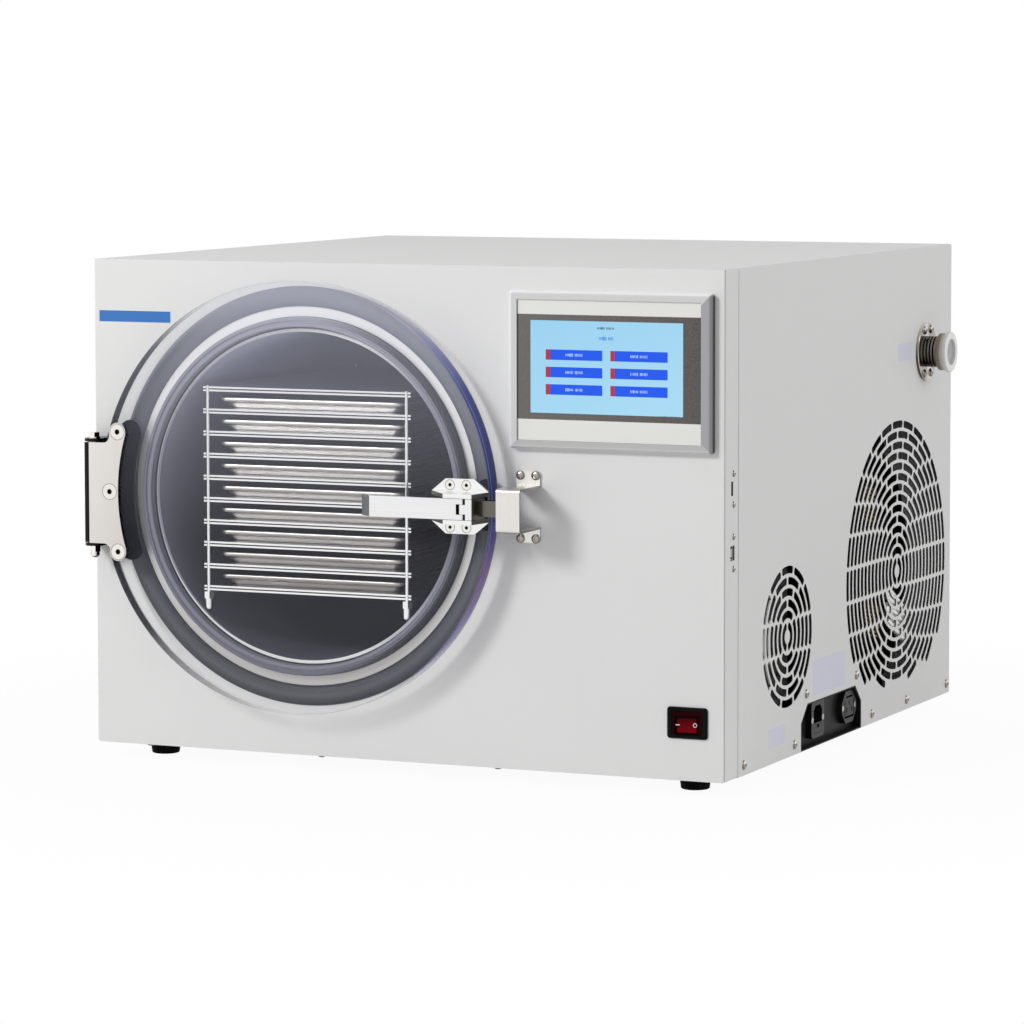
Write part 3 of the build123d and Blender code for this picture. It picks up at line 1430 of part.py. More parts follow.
with BuildPart() as fan_shroud:
    with BuildSketch(facing_right(condenser_face, condenser_y, floor_z)):
        Rectangle(condenser_width, condenser_height, align=(Align.CENTER, Align.MIN))
        with Locations((0, fan_z - floor_z)):
            Circle(fan_radius + 2.0, mode=Mode.SUBTRACT)
    extrude(amount=shroud_thickness)
    with BuildSketch(facing_right(condenser_face, condenser_y, fan_z)):
        Circle(fan_radius + 2.0 + shroud_thickness)
        Circle(fan_radius + 2.0, mode=Mode.SUBTRACT)
    extrude(amount=shroud_thickness + fan_depth + 4.0)
    # Three arms carry the motor in the middle of the ring
    arm_x = condenser_face + shroud_thickness + fan_depth + 4.0
    with BuildSketch(facing_right(arm_x, condenser_y, fan_z)):
        with PolarLocations(0, 3, start_angle=90):
            Rectangle(fan_radius + 2.0 + shroud_thickness, 8.0, align=(Align.MIN, Align.CENTER))
        Circle(motor_radius)
    extrude(amount=-3.0)
    with Locations((arm_x, condenser_y, fan_z)):
        Cylinder(shaft_radius + 4.0, 20.0, rotation=(0, 90, 0), mode=Mode.SUBTRACT)
write(fan_shroud, "fan_shroud")

with BuildPart() as fan_motor:
    with BuildSketch(facing_right(arm_x, condenser_y, fan_z)):
        Circle(motor_radius)
    extrude(amount=motor_length)
    fillet(fan_motor.edges().filter_by(GeomType.CIRCLE).sort_by(Axis.X)[-1], 4.0)
    with BuildSketch(facing_right(arm_x, condenser_y, fan_z)):
        Circle(shaft_radius + running_gap)
    extrude(amount=motor_length / 2, mode=Mode.SUBTRACT)
write(fan_motor, "fan_motor")

with BuildPart() as condenser_fan:
    with BuildSketch(facing_right(fan_x - fan_hub_length / 2, condenser_y, fan_z)):
        Circle(fan_hub_radius)
    extrude(amount=fan_hub_length)
    with Locations((fan_x, condenser_y, fan_z)):
        for blade in range(fan_blades):
            with Locations(Location((0, 0, 0), (360.0 * blade / fan_blades, 0, 0))):
                with Locations(Location((0, 0, 0), (0, 0, fan_pitch))):
                    Box(
                        2.0, fan_chord, fan_radius - 6.0,
                        align=(Align.CENTER, Align.CENTER, Align.MIN),
                    )
    with BuildSketch(facing_right(fan_x, condenser_y, fan_z)):
        Circle(shaft_radius)
    extrude(amount=arm_x + motor_length / 2 - 1.0 - fan_x)
write(condenser_fan, "condenser_fan")


def bent_tube(points, radius, bend):
    """Tube along straight runs joined by arcs of one radius."""
    with BuildPart() as tube:
        with BuildLine() as route:
            FilletPolyline(*points, radius=bend)
        with BuildSketch(Plane(origin=route.line @ 0, z_dir=route.line % 0)):
            Circle(radius)
        sweep(path=route.line)
    return tube.part


with BuildPart() as refrigerant_pipes:
    compressor_top = compressor_low + compressor_height
    hot_x = left + compressor_x + pipe_spread
    hot_y = front + compressor_y - pipe_spread
    return_y = front + compressor_y + pipe_spread
    turn_y = tube_end - pipe_bend - 2.0
    cross_z = floor_z + condenser_height + 30.0
    header_end = front + coil_finish + header_tube
    (warm_x, warm_z), (cold_x, cold_z) = header_spots
    drop_x = (cold_x + condenser_back) / 2
    # Hot gas from the compressor over to the condenser's highest tube
    hot_route = [
        (hot_x, hot_y, compressor_top),
        (hot_x, hot_y, cross_z),
        (tube_x, hot_y, cross_z),
        (tube_x, turn_y, cross_z),
        (tube_x, turn_y, last_tube),
        (tube_x, tube_end, last_tube),
    ]
    # Suction line from the coil's upper header back to the compressor
    suction_route = [
        (warm_x, header_end, warm_z),
        (warm_x, return_y, warm_z),
        (warm_x, return_y, compressor_top),
    ]
    # Liquid line from the condenser's lowest tube to the coil's lower header
    liquid_route = [
        (cold_x, header_end, cold_z),
        (cold_x, header_end + 50.0, cold_z),
        (drop_x, header_end + 50.0, cold_z),
        (drop_x, header_end + 50.0, first_tube),
        (drop_x, turn_y, first_tube),
        (tube_x, turn_y, first_tube),
        (tube_x, tube_end, first_tube),
    ]
    for route in (hot_route, suction_route, liquid_route):
        add(bent_tube(route, pipe_radius, pipe_bend))
write(refrigerant_pipes, "refrigerant_pipes")

# ---------------------------------------------------------------- vacuum line and port
with BuildPart() as vacuum_pipe:
    pipe_points = [
        (left + suction_x, front + chamber_back + chamber_end, base + port_z),
        (left + suction_x, front + port_y, base + port_z),
        (right, front + port_y, base + port_z),
    ]
    add(bent_tube(pipe_points, bellows_core - 0.5, 40.0))
    add(bent_tube(pipe_points, port_bore, 40.0), mode=Mode.SUBTRACT)
write(vacuum_pipe, "vacuum_pipe")

with BuildPart() as port_flange:
    with BuildSketch(facing_right(right, front + port_y, base + port_z)):
        Circle(port_flange_radius)
        Circle(port_bore, mode=Mode.SUBTRACT)
    extrude(amount=port_flange_thickness)
    chamfer(port_flange.edges().filter_by(GeomType.CIRCLE).sort_by(SortBy.LENGTH)[-2:], 0.6)
    with Locations(*port_places):
        Cylinder(screw_radius + 0.1, 4 * port_flange_thickness, mode=Mode.SUBTRACT)
write(port_flange, "port_flange")

# Section plane of the port: local x is the radius, local y the distance from the wall.
port_section = Plane(origin=(right, front + port_y, base + port_z), x_dir=(0, 1, 0), z_dir=(0, 0, -1))
port_axis = Axis((right, front + port_y, base + port_z), (1, 0, 0))

with BuildPart() as port_bellows:
    rib_step = bellows_length / bellows_ribs
    with BuildSketch(port_section):
        with Locations((port_bore, port_flange_thickness)):
            Rectangle(bellows_core - port_bore, bellows_length, align=(Align.MIN, Align.MIN))
        for rib in range(bellows_ribs):
            with Locations((port_bore + 1.0, port_flange_thickness + (rib + 0.25) * rib_step)):
                Rectangle(bellows_radius - port_bore - 1.0, rib_step / 2, align=(Align.MIN, Align.MIN))
        with Locations((port_bore, port_flange_thickness + bellows_length)):
            Rectangle(port_lip_radius - port_bore, port_lip, align=(Align.MIN, Align.MIN))
    revolve(axis=port_axis)
write(port_bellows, "port_bellows")

with BuildPart() as port_cap:
    cap_start = port_flange_thickness + bellows_length + port_lip
    with BuildSketch(port_section):
        with Locations((0, cap_start + cap_thickness - cap_face)):
            Rectangle(cap_radius, cap_face, align=(Align.MIN, Align.MIN))
            fillet(vertices().group_by(Axis.X)[-1], 1.2)
        with Locations((0, cap_start)):
            Rectangle(cap_hub_radius, cap_thickness - cap_face, align=(Align.MIN, Align.MIN))
        with Locations((port_lip_radius + fit_gap, cap_start - port_lip + fit_gap)):
            Rectangle(
                cap_hub_radius - port_lip_radius - fit_gap, port_lip + cap_thickness / 2,
                align=(Align.MIN, Align.MIN),
            )
        with Locations((0, cap_start + cap_thickness)):
            Rectangle(cap_dish, 2.4, align=(Align.MIN, Align.MAX), mode=Mode.SUBTRACT)
    revolve(axis=port_axis)
write(port_cap, "port_cap")

# ---------------------------------------------------------------- electrics
with BuildPart() as power_supply:
    supply_right = wall - supply_gap
    with BuildSketch(Plane((supply_right, front + supply_start, floor_z))):
        Rectangle(supply_width, supply_length, align=(Align.MAX, Align.MIN))
    extrude(amount=supply_height)
    fillet(power_supply.edges().filter_by(Axis.Z), 2.0)
    supply_middle = (supply_right - supply_width / 2, front + supply_start + supply_length / 2)
    with BuildSketch(Plane((*supply_middle, floor_z + supply_height))):
        with GridLocations(0, 8.0, 1, 9):
            Rectangle(supply_width - 24.0, 3.0)
    extrude(amount=-2.0, mode=Mode.SUBTRACT)
write(power_supply, "power_supply")

with BuildPart() as control_board:
    board_y = front + sheet + spacer_height
    board_middle = (left + board_from_left + board_width / 2, base + board_from_base + board_height / 2)
    with BuildSketch(facing_front(board_y, *board_middle)):
        Rectangle(board_width, board_height)
    extrude(amount=-board_thickness)
    with BuildSketch(facing_front(board_y, *board_middle)):
        with GridLocations(board_width - 12.0, board_height - 12.0, 2, 2):
            Circle(3.0)
    extrude(amount=spacer_height)
    for dx, dz, part_width, part_height, part_depth in (
        (-52.0, 18.0, 30.0, 26.0, 22.0),
        (-14.0, 22.0, 24.0, 24.0, 12.0),
        (22.0, 22.0, 24.0, 24.0, 12.0),
        (52.0, 4.0, 22.0, 60.0, 16.0),
        (-40.0, -28.0, 44.0, 18.0, 9.0),
        (10.0, -24.0, 20.0, 20.0, 5.0),
    ):
        with BuildSketch(facing_front(board_y + board_thickness, board_middle[0] + dx, board_middle[1] + dz)):
            Rectangle(part_width, part_height)
        extrude(amount=-part_depth)
write(control_board, "control_board")
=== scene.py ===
# %% [markdown]
# # A benchtop freeze dryer
# This lesson dresses a finished mechanical model of a freeze dryer: a powder-coated steel box with a
# round clear door, a rack of steel trays in a vacuum chamber, a touchscreen and a vented side wall.
# The solids come ready-made as a fixed frame, so what is left is surface: finishes made of shader
# nodes, and the thin printed or moulded details that are too slight to be solids.

import math

import bmesh
import bpy
from mathutils import Matrix, Vector


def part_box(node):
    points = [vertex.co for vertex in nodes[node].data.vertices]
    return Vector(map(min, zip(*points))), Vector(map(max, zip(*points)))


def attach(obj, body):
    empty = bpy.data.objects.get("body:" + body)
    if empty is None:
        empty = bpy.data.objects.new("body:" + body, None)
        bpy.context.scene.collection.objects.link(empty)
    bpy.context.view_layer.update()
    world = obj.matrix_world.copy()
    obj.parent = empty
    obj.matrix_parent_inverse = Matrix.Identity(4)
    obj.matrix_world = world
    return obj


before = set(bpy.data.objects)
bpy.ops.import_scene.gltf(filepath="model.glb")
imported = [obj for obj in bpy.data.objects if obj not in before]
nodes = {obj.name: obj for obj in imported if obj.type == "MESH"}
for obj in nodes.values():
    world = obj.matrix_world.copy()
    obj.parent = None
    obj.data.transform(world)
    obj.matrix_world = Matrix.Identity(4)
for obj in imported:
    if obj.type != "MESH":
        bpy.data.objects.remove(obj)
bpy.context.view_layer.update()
mm = 0.001

# %% [markdown]
# ## Landmarks
# Every place is taken from the solids. The front panel's left lower corner is the point that the
# maker's drawings would measure from, and the door, the screen and the side wall are found from
# their own solids' boxes.

# %% Landmarks
panel_low, panel_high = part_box("front_panel")
left, right, front = panel_low.x, panel_high.x, panel_low.y
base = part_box("base_pan")[0].z
disc_low, disc_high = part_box("door_disc")
door_centre = (disc_low + disc_high) / 2
door_radius = (disc_high.x - disc_low.x) / 2
print(f"casing {right - left:.3f} m wide, door radius {door_radius:.4f} m")


def from_corner(along, up):
    """Point on the front panel, in millimetres from its left lower corner."""
    return Vector((left + along * mm, front, base + up * mm))


def on_side(back, up):
    """Point on the right-hand wall, in millimetres from its front lower corner."""
    return Vector((right, front + back * mm, base + up * mm))


# %% [markdown]
# ## Shader arithmetic
# A finish is a small sum: so much grain, so much dust, a band between two heights. Blender writes
# each sum as a chain of Math nodes, which is slow to read. A thin wrapper around a socket lets
# Python's own operators add those nodes.

# %% Number wrapper
def maths(operation, swapped=False):
    """Method that adds one Math node for this number and another."""

    def method(self, other=0.0):
        first, second = (other, self) if swapped else (self, other)
        return self.finish.add("ShaderNodeMath", {"operation": operation}, {0: first, 1: second})

    return method


class Number:
    """A value that varies over a surface. Arithmetic on it adds Math nodes."""

    def __init__(self, finish, socket):
        self.finish = finish
        self.socket = socket

    __add__, __mul__ = maths("ADD"), maths("MULTIPLY")
    __sub__, __rsub__ = maths("SUBTRACT"), maths("SUBTRACT", swapped=True)
    __truediv__, __mod__ = maths("DIVIDE"), maths("FLOORED_MODULO")
    __gt__, __lt__ = maths("GREATER_THAN"), maths("LESS_THAN")
    higher, lower = maths("MAXIMUM"), maths("MINIMUM")
    power, size = maths("POWER"), maths("ABSOLUTE")

    def between(self, low, high):
        """1 from low to high, 0 elsewhere."""
        return (self > low) * (self < high)

    def ramp(self, low, high):
        """0 below low, 1 above high and straight between."""
        return self.finish.add(
            "ShaderNodeMapRange", {"clamp": True}, {"Value": self, "From Min": low, "From Max": high}
        )

    def hump(self, middle, half):
        """1 at the middle, falling to 0 at half a width to either side."""
        return 1.0 - (self - middle).size().ramp(0.0, half)


# %% [markdown]
# ## A finish
# One object stands for one material. Its `add` method makes any node from its type, its settings
# and its sockets, and the sockets take plain numbers, colours or earlier results. All patterns read
# Object coordinates in metres, so grain has the same scale on every piece.

# %% Finish
class Finish:
    """One procedural material around a Principled shader."""

    def __init__(self, name, colour, roughness, metallic=0.0, **constants):
        self.material = bpy.data.materials.new(name)
        self.material.use_nodes = True
        self.tree = self.material.node_tree
        self.shader = self.tree.nodes["Principled BSDF"]
        self.shader.inputs["Base Color"].default_value = (*colour, 1.0)
        self.shader.inputs["Roughness"].default_value = roughness
        self.shader.inputs["Metallic"].default_value = metallic
        for socket, value in constants.items():
            self.shader.inputs[socket.replace("_", " ")].default_value = value
        coordinates = self.tree.nodes.new("ShaderNodeTexCoord")
        self.place = Number(self, coordinates.outputs["Object"])
        self.normal = Number(self, coordinates.outputs["Normal"])

    def add(self, kind, settings, sockets, output=0):
        node = self.tree.nodes.new(kind)
        for name, value in settings.items():
            if name == "stops":
                elements = node.color_ramp.elements
                elements.remove(elements[1])
                elements[0].position = value[0][0]
                for position, _ in value[1:]:
                    elements.new(position)
                for element, (position, colour) in zip(elements, value):
                    element.color = (*colour, 1.0)
            else:
                setattr(node, name, value)
        for name, value in sockets.items():
            if isinstance(value, Number):
                self.tree.links.new(value.socket, node.inputs[name])
            elif isinstance(value, tuple) and node.inputs[name].type == "RGBA":
                node.inputs[name].default_value = (*value, 1.0)
            else:
                node.inputs[name].default_value = value
        return Number(self, node.outputs[output])

    def parts(self, vector):
        split = self.add("ShaderNodeSeparateXYZ", {}, {0: vector}).socket.node
        return [Number(self, output) for output in split.outputs]

    def axes(self):
        """The surface point's x, y and z as three numbers."""
        return self.parts(self.place)

    def facing(self):
        """How far the surface faces the front, the right and the sky, each from -1 to 1."""
        to_right, to_back, to_sky = self.parts(self.normal)
        return to_back * -1.0, to_right, to_sky

    def turn(self, along, up):
        """Angle about a centre in whole turns: 0 is left, 0.25 down, 0.5 right and 0.75 up."""
        angle = self.add("ShaderNodeMath", {"operation": "ARCTAN2"}, {0: up, 1: along})
        return angle / math.tau + 0.5

    def ramp_of(self, value, stops):
        """Colour from a list of positions and colours."""
        return self.add("ShaderNodeValToRGB", {"stops": stops}, {0: value})

    def stretched(self, scale):
        """Coordinates scaled along each axis."""
        return self.add("ShaderNodeVectorMath", {"operation": "MULTIPLY"}, {0: self.place, 1: scale})

    def noise(self, scale, detail=2.0, place=None):
        sockets = {"Vector": place or self.place, "Scale": scale, "Detail": detail}
        return self.add("ShaderNodeTexNoise", {}, sockets)

    def mix(self, share, first, second):
        """Colour that goes from first to second as share goes from 0 to 1."""
        return self.add(
            "ShaderNodeMix", {"data_type": "RGBA"}, {0: share, 6: first, 7: second}, output=2
        )

    def feed(self, socket, value):
        self.tree.links.new(value.socket, self.shader.inputs[socket])

    def paint(self, share, first, second):
        self.feed("Base Color", self.mix(share, first, second))

    def bumpy(self, height, distance, strength=1.0):
        sockets = {"Height": height, "Distance": distance, "Strength": strength}
        self.feed("Normal", self.add("ShaderNodeBump", {}, sockets))

    def on(self, *names):
        """Put this finish on solids of the frame."""
        for name in names:
            for slot in nodes[name].material_slots:
                slot.material = self.material
        print(f"{self.material.name}: {', '.join(names)}")


def reach(along, up):
    """Distance from a centre."""
    return (along * along + up * up).power(0.5)


def about_door(finish):
    """Place from the door's axis: to the right of it, along it, above it and straight out from it."""
    across, deep, high = finish.axes()
    aside, rise = across - door_centre.x, high - door_centre.z
    return aside, deep, rise, reach(aside, rise)


def toned(colour, gain):
    """Colour made darker or paler, up to full white."""
    return tuple(min(1.0, part * gain) for part in colour)


# %% [markdown]
# ## Powder-coated steel
# The casing is folded sheet under a baked powder coat. Melted powder never lies quite flat: it
# leaves a faint orange-peel ripple about a millimetre across, and tiny changes in gloss. Both come
# from noise, one for the bump and a broader one for the roughness. The folds are painted greyer, as
# painted shade on the bends, which the surface's own direction finds: a fold faces two ways at once.
# The walls of the cut vent slots are painted near black, as painted shade inside the slots.

# %% Powder coat
powder = Finish("powder_coat", (0.80, 0.80, 0.795), 0.55)
peel = powder.noise(900.0, 3.0)
powder.bumpy(peel, 0.00006, 0.5)
drift = powder.noise(9.0, 3.0)
powder.feed("Roughness", drift * 0.12 + 0.50)
to_front, to_right, to_sky = powder.facing()
# The folds are painted greyer: painted shade on the bends.
side_fold_shade = (to_front * to_right * 2.0).ramp(0.45, 0.95)
foot_fold_shade = (to_front * to_sky * -2.0).ramp(0.45, 0.95)
coat = powder.mix(drift, (0.785, 0.785, 0.78), (0.815, 0.815, 0.81))
coat = powder.mix(side_fold_shade.higher(foot_fold_shade) * 0.85, coat, (0.34, 0.335, 0.32))
across, deep, high = powder.axes()
# The walls of the vent slots are painted near black: painted shade inside the slots.
in_wall = across.between(right - 1.6 * mm, right - 0.35 * mm) * (deep > front + 3 * mm)
between_vents = deep.between(front + 45 * mm, front + 121 * mm)
slot_wall_shade = in_wall * high.between(base + 4 * mm, base + 330 * mm) * (1.0 - between_vents)
powder.paint(slot_wall_shade, coat, (0.02, 0.02, 0.018))
powder.on("casing_cover", "front_panel", "base_pan", "rear_panel")

# %% [markdown]
# ## Stainless steel
# Polished steel has hardly any colour of its own. It shows the bright room on the faces that look
# to the front and up, and the dim rest of the room on its sides and edges, and that contrast is what
# makes it read as metal. One recipe paints that reflection into the colour: a light and a dark tone,
# chosen by the way the surface faces, as painted reflection. Fine scratches, which are noise squeezed
# hard along one axis, stir the tone and the gloss.

# %% Steel recipe
def steel(name, light, dark, roughness, grain, sky_share=0.85, front_from=0.62):
    """Metal with a painted reflection: a light tone towards the front and the sky, and a dark one
    elsewhere.
    """
    metal = Finish(name, light, roughness, metallic=1.0)
    scratches = metal.noise(1.0, 3.0, metal.stretched(grain))
    to_front, _, to_sky = metal.facing()
    metal.lit = to_front.ramp(front_from, 0.97).higher(to_sky.ramp(0.6, 0.97) * sky_share)
    metal.feed("Roughness", scratches * 0.16 + (roughness - 0.06))
    metal.light = metal.mix(scratches, toned(light, 0.93), toned(light, 1.05))
    metal.tone = metal.mix(metal.lit, dark, metal.light)
    metal.feed("Base Color", metal.tone)
    metal.bumpy(scratches, 0.00003, 0.25)
    return metal


along_x, along_z = (18.0, 18.0, 1900.0), (1900.0, 18.0, 18.0)
steel("handle_steel", (0.83, 0.83, 0.84), (0.055, 0.055, 0.06), 0.22, along_x).on("latch_handle")
steel("latch_steel", (0.88, 0.88, 0.87), (0.13, 0.14, 0.155), 0.16, along_x).on("latch_base")
pins = steel("pin_steel", (0.92, 0.90, 0.87), (0.10, 0.072, 0.055), 0.12, along_z, front_from=0.6)
pins.on("hinge_pin", "latch_pins")
dark_steel, dark_side = (0.022, 0.022, 0.022), (0.010, 0.010, 0.012)
bracket = steel("bracket_steel", dark_steel, dark_side, 0.20, along_z, front_from=0.8)
bracket.on("hinge_bracket", "hinge_block")

# %% Hinge plate
hinge_plate = steel("hinge_plate_steel", (0.78, 0.76, 0.74), (0.03, 0.028, 0.025), 0.26, along_z)
across, _, high = hinge_plate.axes()
plate_low, plate_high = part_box("hinge_plate")
warmth = (high.ramp(plate_high.z, plate_low.z) + across.ramp(plate_low.x, plate_high.x)) * 0.5
warm = hinge_plate.mix(warmth, hinge_plate.light, (0.64, 0.60, 0.565))
# The plate's left edge is painted near black, as painted shade beside it.
left_edge_shade = across.ramp(plate_low.x + 1.9 * mm, plate_low.x + 1.4 * mm)
hinge_plate.paint(hinge_plate.lit * (1.0 - left_edge_shade), dark_side, warm)
hinge_plate.on("hinge_plate")

# %% Tongue and keeper
tongue = steel("tongue_steel", (0.84, 0.84, 0.84), (0.15, 0.145, 0.125), 0.2, along_x)
_, deep, _ = tongue.axes()
# The tongue's set-back front end is painted dark, as painted shade.
head = tongue.lit * (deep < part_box("latch_tongue")[0].y + 6 * mm)
tongue.paint(head, (0.15, 0.145, 0.122), tongue.light)
tongue.on("latch_tongue")

keeper = steel("keeper_steel", (0.76, 0.735, 0.70), (0.33, 0.335, 0.33), 0.24, along_z)
keeper_low, keeper_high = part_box("keeper")
_, deep, high = keeper.axes()
on_face = deep < keeper_low.y + 4 * mm
# The face's top and bottom edges are painted brown.
brown_edge_lines = on_face * ((high - (keeper_low.z + keeper_high.z) / 2).size() - 20.5 * mm).ramp(0.0, 1.2 * mm)
# The keeper's sides are painted as a reflection of the panel: paler near the panel, darker towards the
# front.
inward = deep.ramp(keeper_low.y, keeper_high.y)
side_reflection = keeper.mix(inward, (0.20, 0.20, 0.20), (0.50, 0.51, 0.50))
tone = keeper.mix(keeper.lit, side_reflection, keeper.light)
keeper.paint(brown_edge_lines * 0.7, tone, (0.24, 0.19, 0.13))
keeper.on("keeper")

# %% [markdown]
# ## Screws
# The countersunk screws have a hexagon socket. Light hardly reaches into it, so the steel is painted
# dark, as painted shade, where it lies deeper than the head's face. The domed screws are polished:
# their colour is painted shade by the way they face, with a painted glint where the dome turns
# outwards and up.

# %% Screws
def screw_steel(name, face_y):
    """Bright heads with a socket painted dark, as painted shade."""
    screws = steel(name, (0.84, 0.82, 0.77), (0.02, 0.018, 0.016), 0.18, along_x)
    _, deep, _ = screws.axes()
    socket_shade = (deep - face_y).ramp(0.25 * mm, 0.7 * mm)
    screws.paint(socket_shade, screws.tone, (0.012, 0.011, 0.010))
    return screws


socket_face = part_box("hinge_screws")[0].y
screw_steel("hex_screws", socket_face).on("hinge_screws", "latch_screws")

domes = Finish("domed_screws", (0.8, 0.78, 0.74), 0.16, metallic=1.0)
to_front, to_right, to_sky = domes.facing()
outward = to_front.size().higher(to_right.size())
# Painted glint and painted shade on the domes.
glint = (outward * 0.85 + to_sky * 0.45).ramp(0.88, 0.97)
shade = domes.mix(outward.ramp(0.55, 1.0), (0.035, 0.030, 0.026), (0.42, 0.39, 0.36))
domes.paint(glint, shade, (0.95, 0.93, 0.90))
domes.feed("Roughness", domes.noise(300.0) * 0.1 + 0.12)
domes.on("casing_screws", "strip_screws", "socket_screws")

# %% [markdown]
# ## Vacuum port
# The flange and the bellows were turned on a lathe. The turning marks are rings, and rings throw the
# light into fans that spread from the middle, as on the bottom of a steel pan. Those fans are painted
# into the colour as painted highlights, made from the angle about the port's axis.

# %% Turned steel
port_low, port_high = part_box("port_flange")
port_middle = (port_low + port_high) / 2


def about_port(finish):
    """Place from the port's axis: along it, behind it and above it."""
    across, deep, high = finish.axes()
    return across, deep - port_middle.y, high - port_middle.z


turned = Finish("turned_steel", (0.3, 0.28, 0.25), 0.16, metallic=1.0)
_, behind, above = about_port(turned)
_, to_right, to_sky = turned.facing()
fan_angle = turned.turn(behind, above) * (4.0 * math.tau) + 0.6
fan_highlights = turned.add("ShaderNodeMath", {"operation": "SINE"}, {0: fan_angle}) * 0.5 + 0.5
ring_place = turned.add("ShaderNodeCombineXYZ", {}, {0: reach(behind, above) * 1400.0})
rings = turned.noise(1.0, 2.0, ring_place)
streaks = fan_highlights.power(2.0) * 0.55 + rings * 0.35
turned_tone = turned.mix(streaks, (0.20, 0.175, 0.145), (0.72, 0.67, 0.61))
# Faces turned away from the right are painted lighter above and darker below: painted light and shade.
edge = 1.0 - to_right.ramp(0.3, 0.7)
edge_light_shade = turned.mix(to_sky.ramp(-0.2, 0.9), (0.10, 0.085, 0.065), (0.72, 0.68, 0.62))
turned.paint(edge, turned_tone, edge_light_shade)
turned.feed("Roughness", rings * 0.12 + 0.10)
turned.on("port_flange")

# %% Bellows
bellows_low, bellows_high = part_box("port_bellows")
ribs = Finish("bellows_steel", (0.3, 0.28, 0.25), 0.18, metallic=1.0)
across, behind, above = about_port(ribs)
# The ribs' valleys are painted near black as painted shade, their crowns get a painted highlight where
# they face the front and the sky, and the tone goes darker towards the wall.
crown = reach(behind, above).ramp(15.6 * mm, 17.4 * mm)
outwards = across.ramp(bellows_low.x, bellows_high.x)
wall_to_tip_tone = ribs.mix(outwards, (0.055, 0.045, 0.030), (0.22, 0.18, 0.12))
to_front, _, to_sky = ribs.facing()
shine = (to_sky * 0.5 + to_front * 0.6).ramp(0.1, 0.75)
valley_shade = ribs.mix(crown, (0.012, 0.010, 0.008), wall_to_tip_tone)
ribs.paint(crown * shine, valley_shade, (0.85, 0.82, 0.76))
ribs.feed("Roughness", ribs.noise(90.0) * 0.1 + 0.14)
ribs.on("port_bellows")

# %% [markdown]
# ## Trays and shelves
# Each tray is pressed from thin sheet with a rolled rim. Seen from the front it is three painted
# bands of light and shade: the painted highlight on the roll, the painted shade beneath it and the
# pale painted reflection on the sloping wall. The trays stand one above the other at a fixed pitch,
# so one remainder of the height places the bands on all nine.

# %% Tray steel
tray_low, tray_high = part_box("tray_1")
tray_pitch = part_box("tray_2")[0].z - tray_low.z
pan = Finish("tray_steel", (0.78, 0.75, 0.71), 0.25, metallic=1.0)
across, _, high = pan.axes()
to_front, _, _ = pan.facing()
level = (high - tray_low.z) % tray_pitch
bands = pan.ramp_of(
    level / (tray_high.z - tray_low.z),
    [
        (0.0, (0.34, 0.325, 0.32)), (0.08, (0.93, 0.915, 0.905)), (0.36, (1.0, 0.985, 0.975)),
        (0.44, (0.62, 0.60, 0.58)), (0.50, (0.36, 0.335, 0.31)), (0.70, (0.40, 0.37, 0.345)),
        (0.77, (0.70, 0.675, 0.64)), (0.83, (1.0, 0.98, 0.94)), (1.0, (0.90, 0.87, 0.83)),
    ],
)
brush = pan.noise(1.0, 3.0, pan.stretched((9.0, 300.0, 300.0)))
tray_half = (tray_high.x - tray_low.x) / 2
off_middle = (across - (tray_low.x + tray_high.x) / 2).size()
# The tray ends and sides are painted dark, and the lower trays darker, as painted shade.
corner_shade = off_middle.ramp(tray_half - 5 * mm, tray_half) * 0.6
end_shade = (1.0 - to_front.ramp(0.05, 0.4)).higher(corner_shade)
lower_tray_shade = high.ramp(tray_low.z + 8 * tray_pitch, tray_low.z)
band_tone = pan.mix(brush * 0.07, bands, (0.45, 0.41, 0.385))
band_tone = pan.mix(lower_tray_shade * 0.56 + 0.06, band_tone, (0.16, 0.145, 0.135))
pan.paint(end_shade * 0.85, band_tone, (0.10, 0.10, 0.115))
pan.feed("Roughness", brush * 0.04 + 0.36)
pan.on(*[name for name in nodes if name.startswith("tray_")])

# %% Shelf steel
bars = steel(
    "shelf_steel", (1.0, 1.0, 1.0), (0.16, 0.16, 0.18), 0.2, along_x, sky_share=0.95, front_from=0.25
)
bars.on("shelf_plates", "rack_rods")

# %% [markdown]
# ## Vacuum chamber
# Inside, the chamber mirrors its own darkness: it is a polished tube with one lit end. A real tube
# would need dozens of light bounces to show that, so the colour is painted shade that darkens from the
# roof of the chamber down to its floor, and is painted paler with depth where too little light
# arrives. Only the lip at the mouth, and the flange welded around it, are painted bright, as painted
# light.

# %% Chamber steel
chamber_low, chamber_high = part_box("vacuum_chamber")
chamber_radius = (chamber_high.x - chamber_low.x) / 2

chamber = Finish("chamber_steel", (0.06, 0.06, 0.075), 0.5, metallic=0.15)
aside, deep, rise, out = about_door(chamber)
# Painted shade: dark at the chamber's floor, paler up to its roof.
gloom = chamber.ramp_of(
    rise / chamber_radius * 0.5 + 0.5,
    [
        (0.0, (0.13, 0.13, 0.165)), (0.35, (0.32, 0.325, 0.40)), (0.62, (0.50, 0.51, 0.64)),
        (1.0, (0.80, 0.82, 1.0)),
    ],
)
cloud = chamber.noise(14.0, 3.0)
gloom = chamber.mix(cloud * 0.15, gloom, (0.20, 0.20, 0.25))
inward = deep.ramp(chamber_low.y + 60 * mm, chamber_high.y)
gloom = chamber.mix(inward * 0.7, gloom, (0.78, 0.80, 1.0))
sideways = aside / chamber_radius
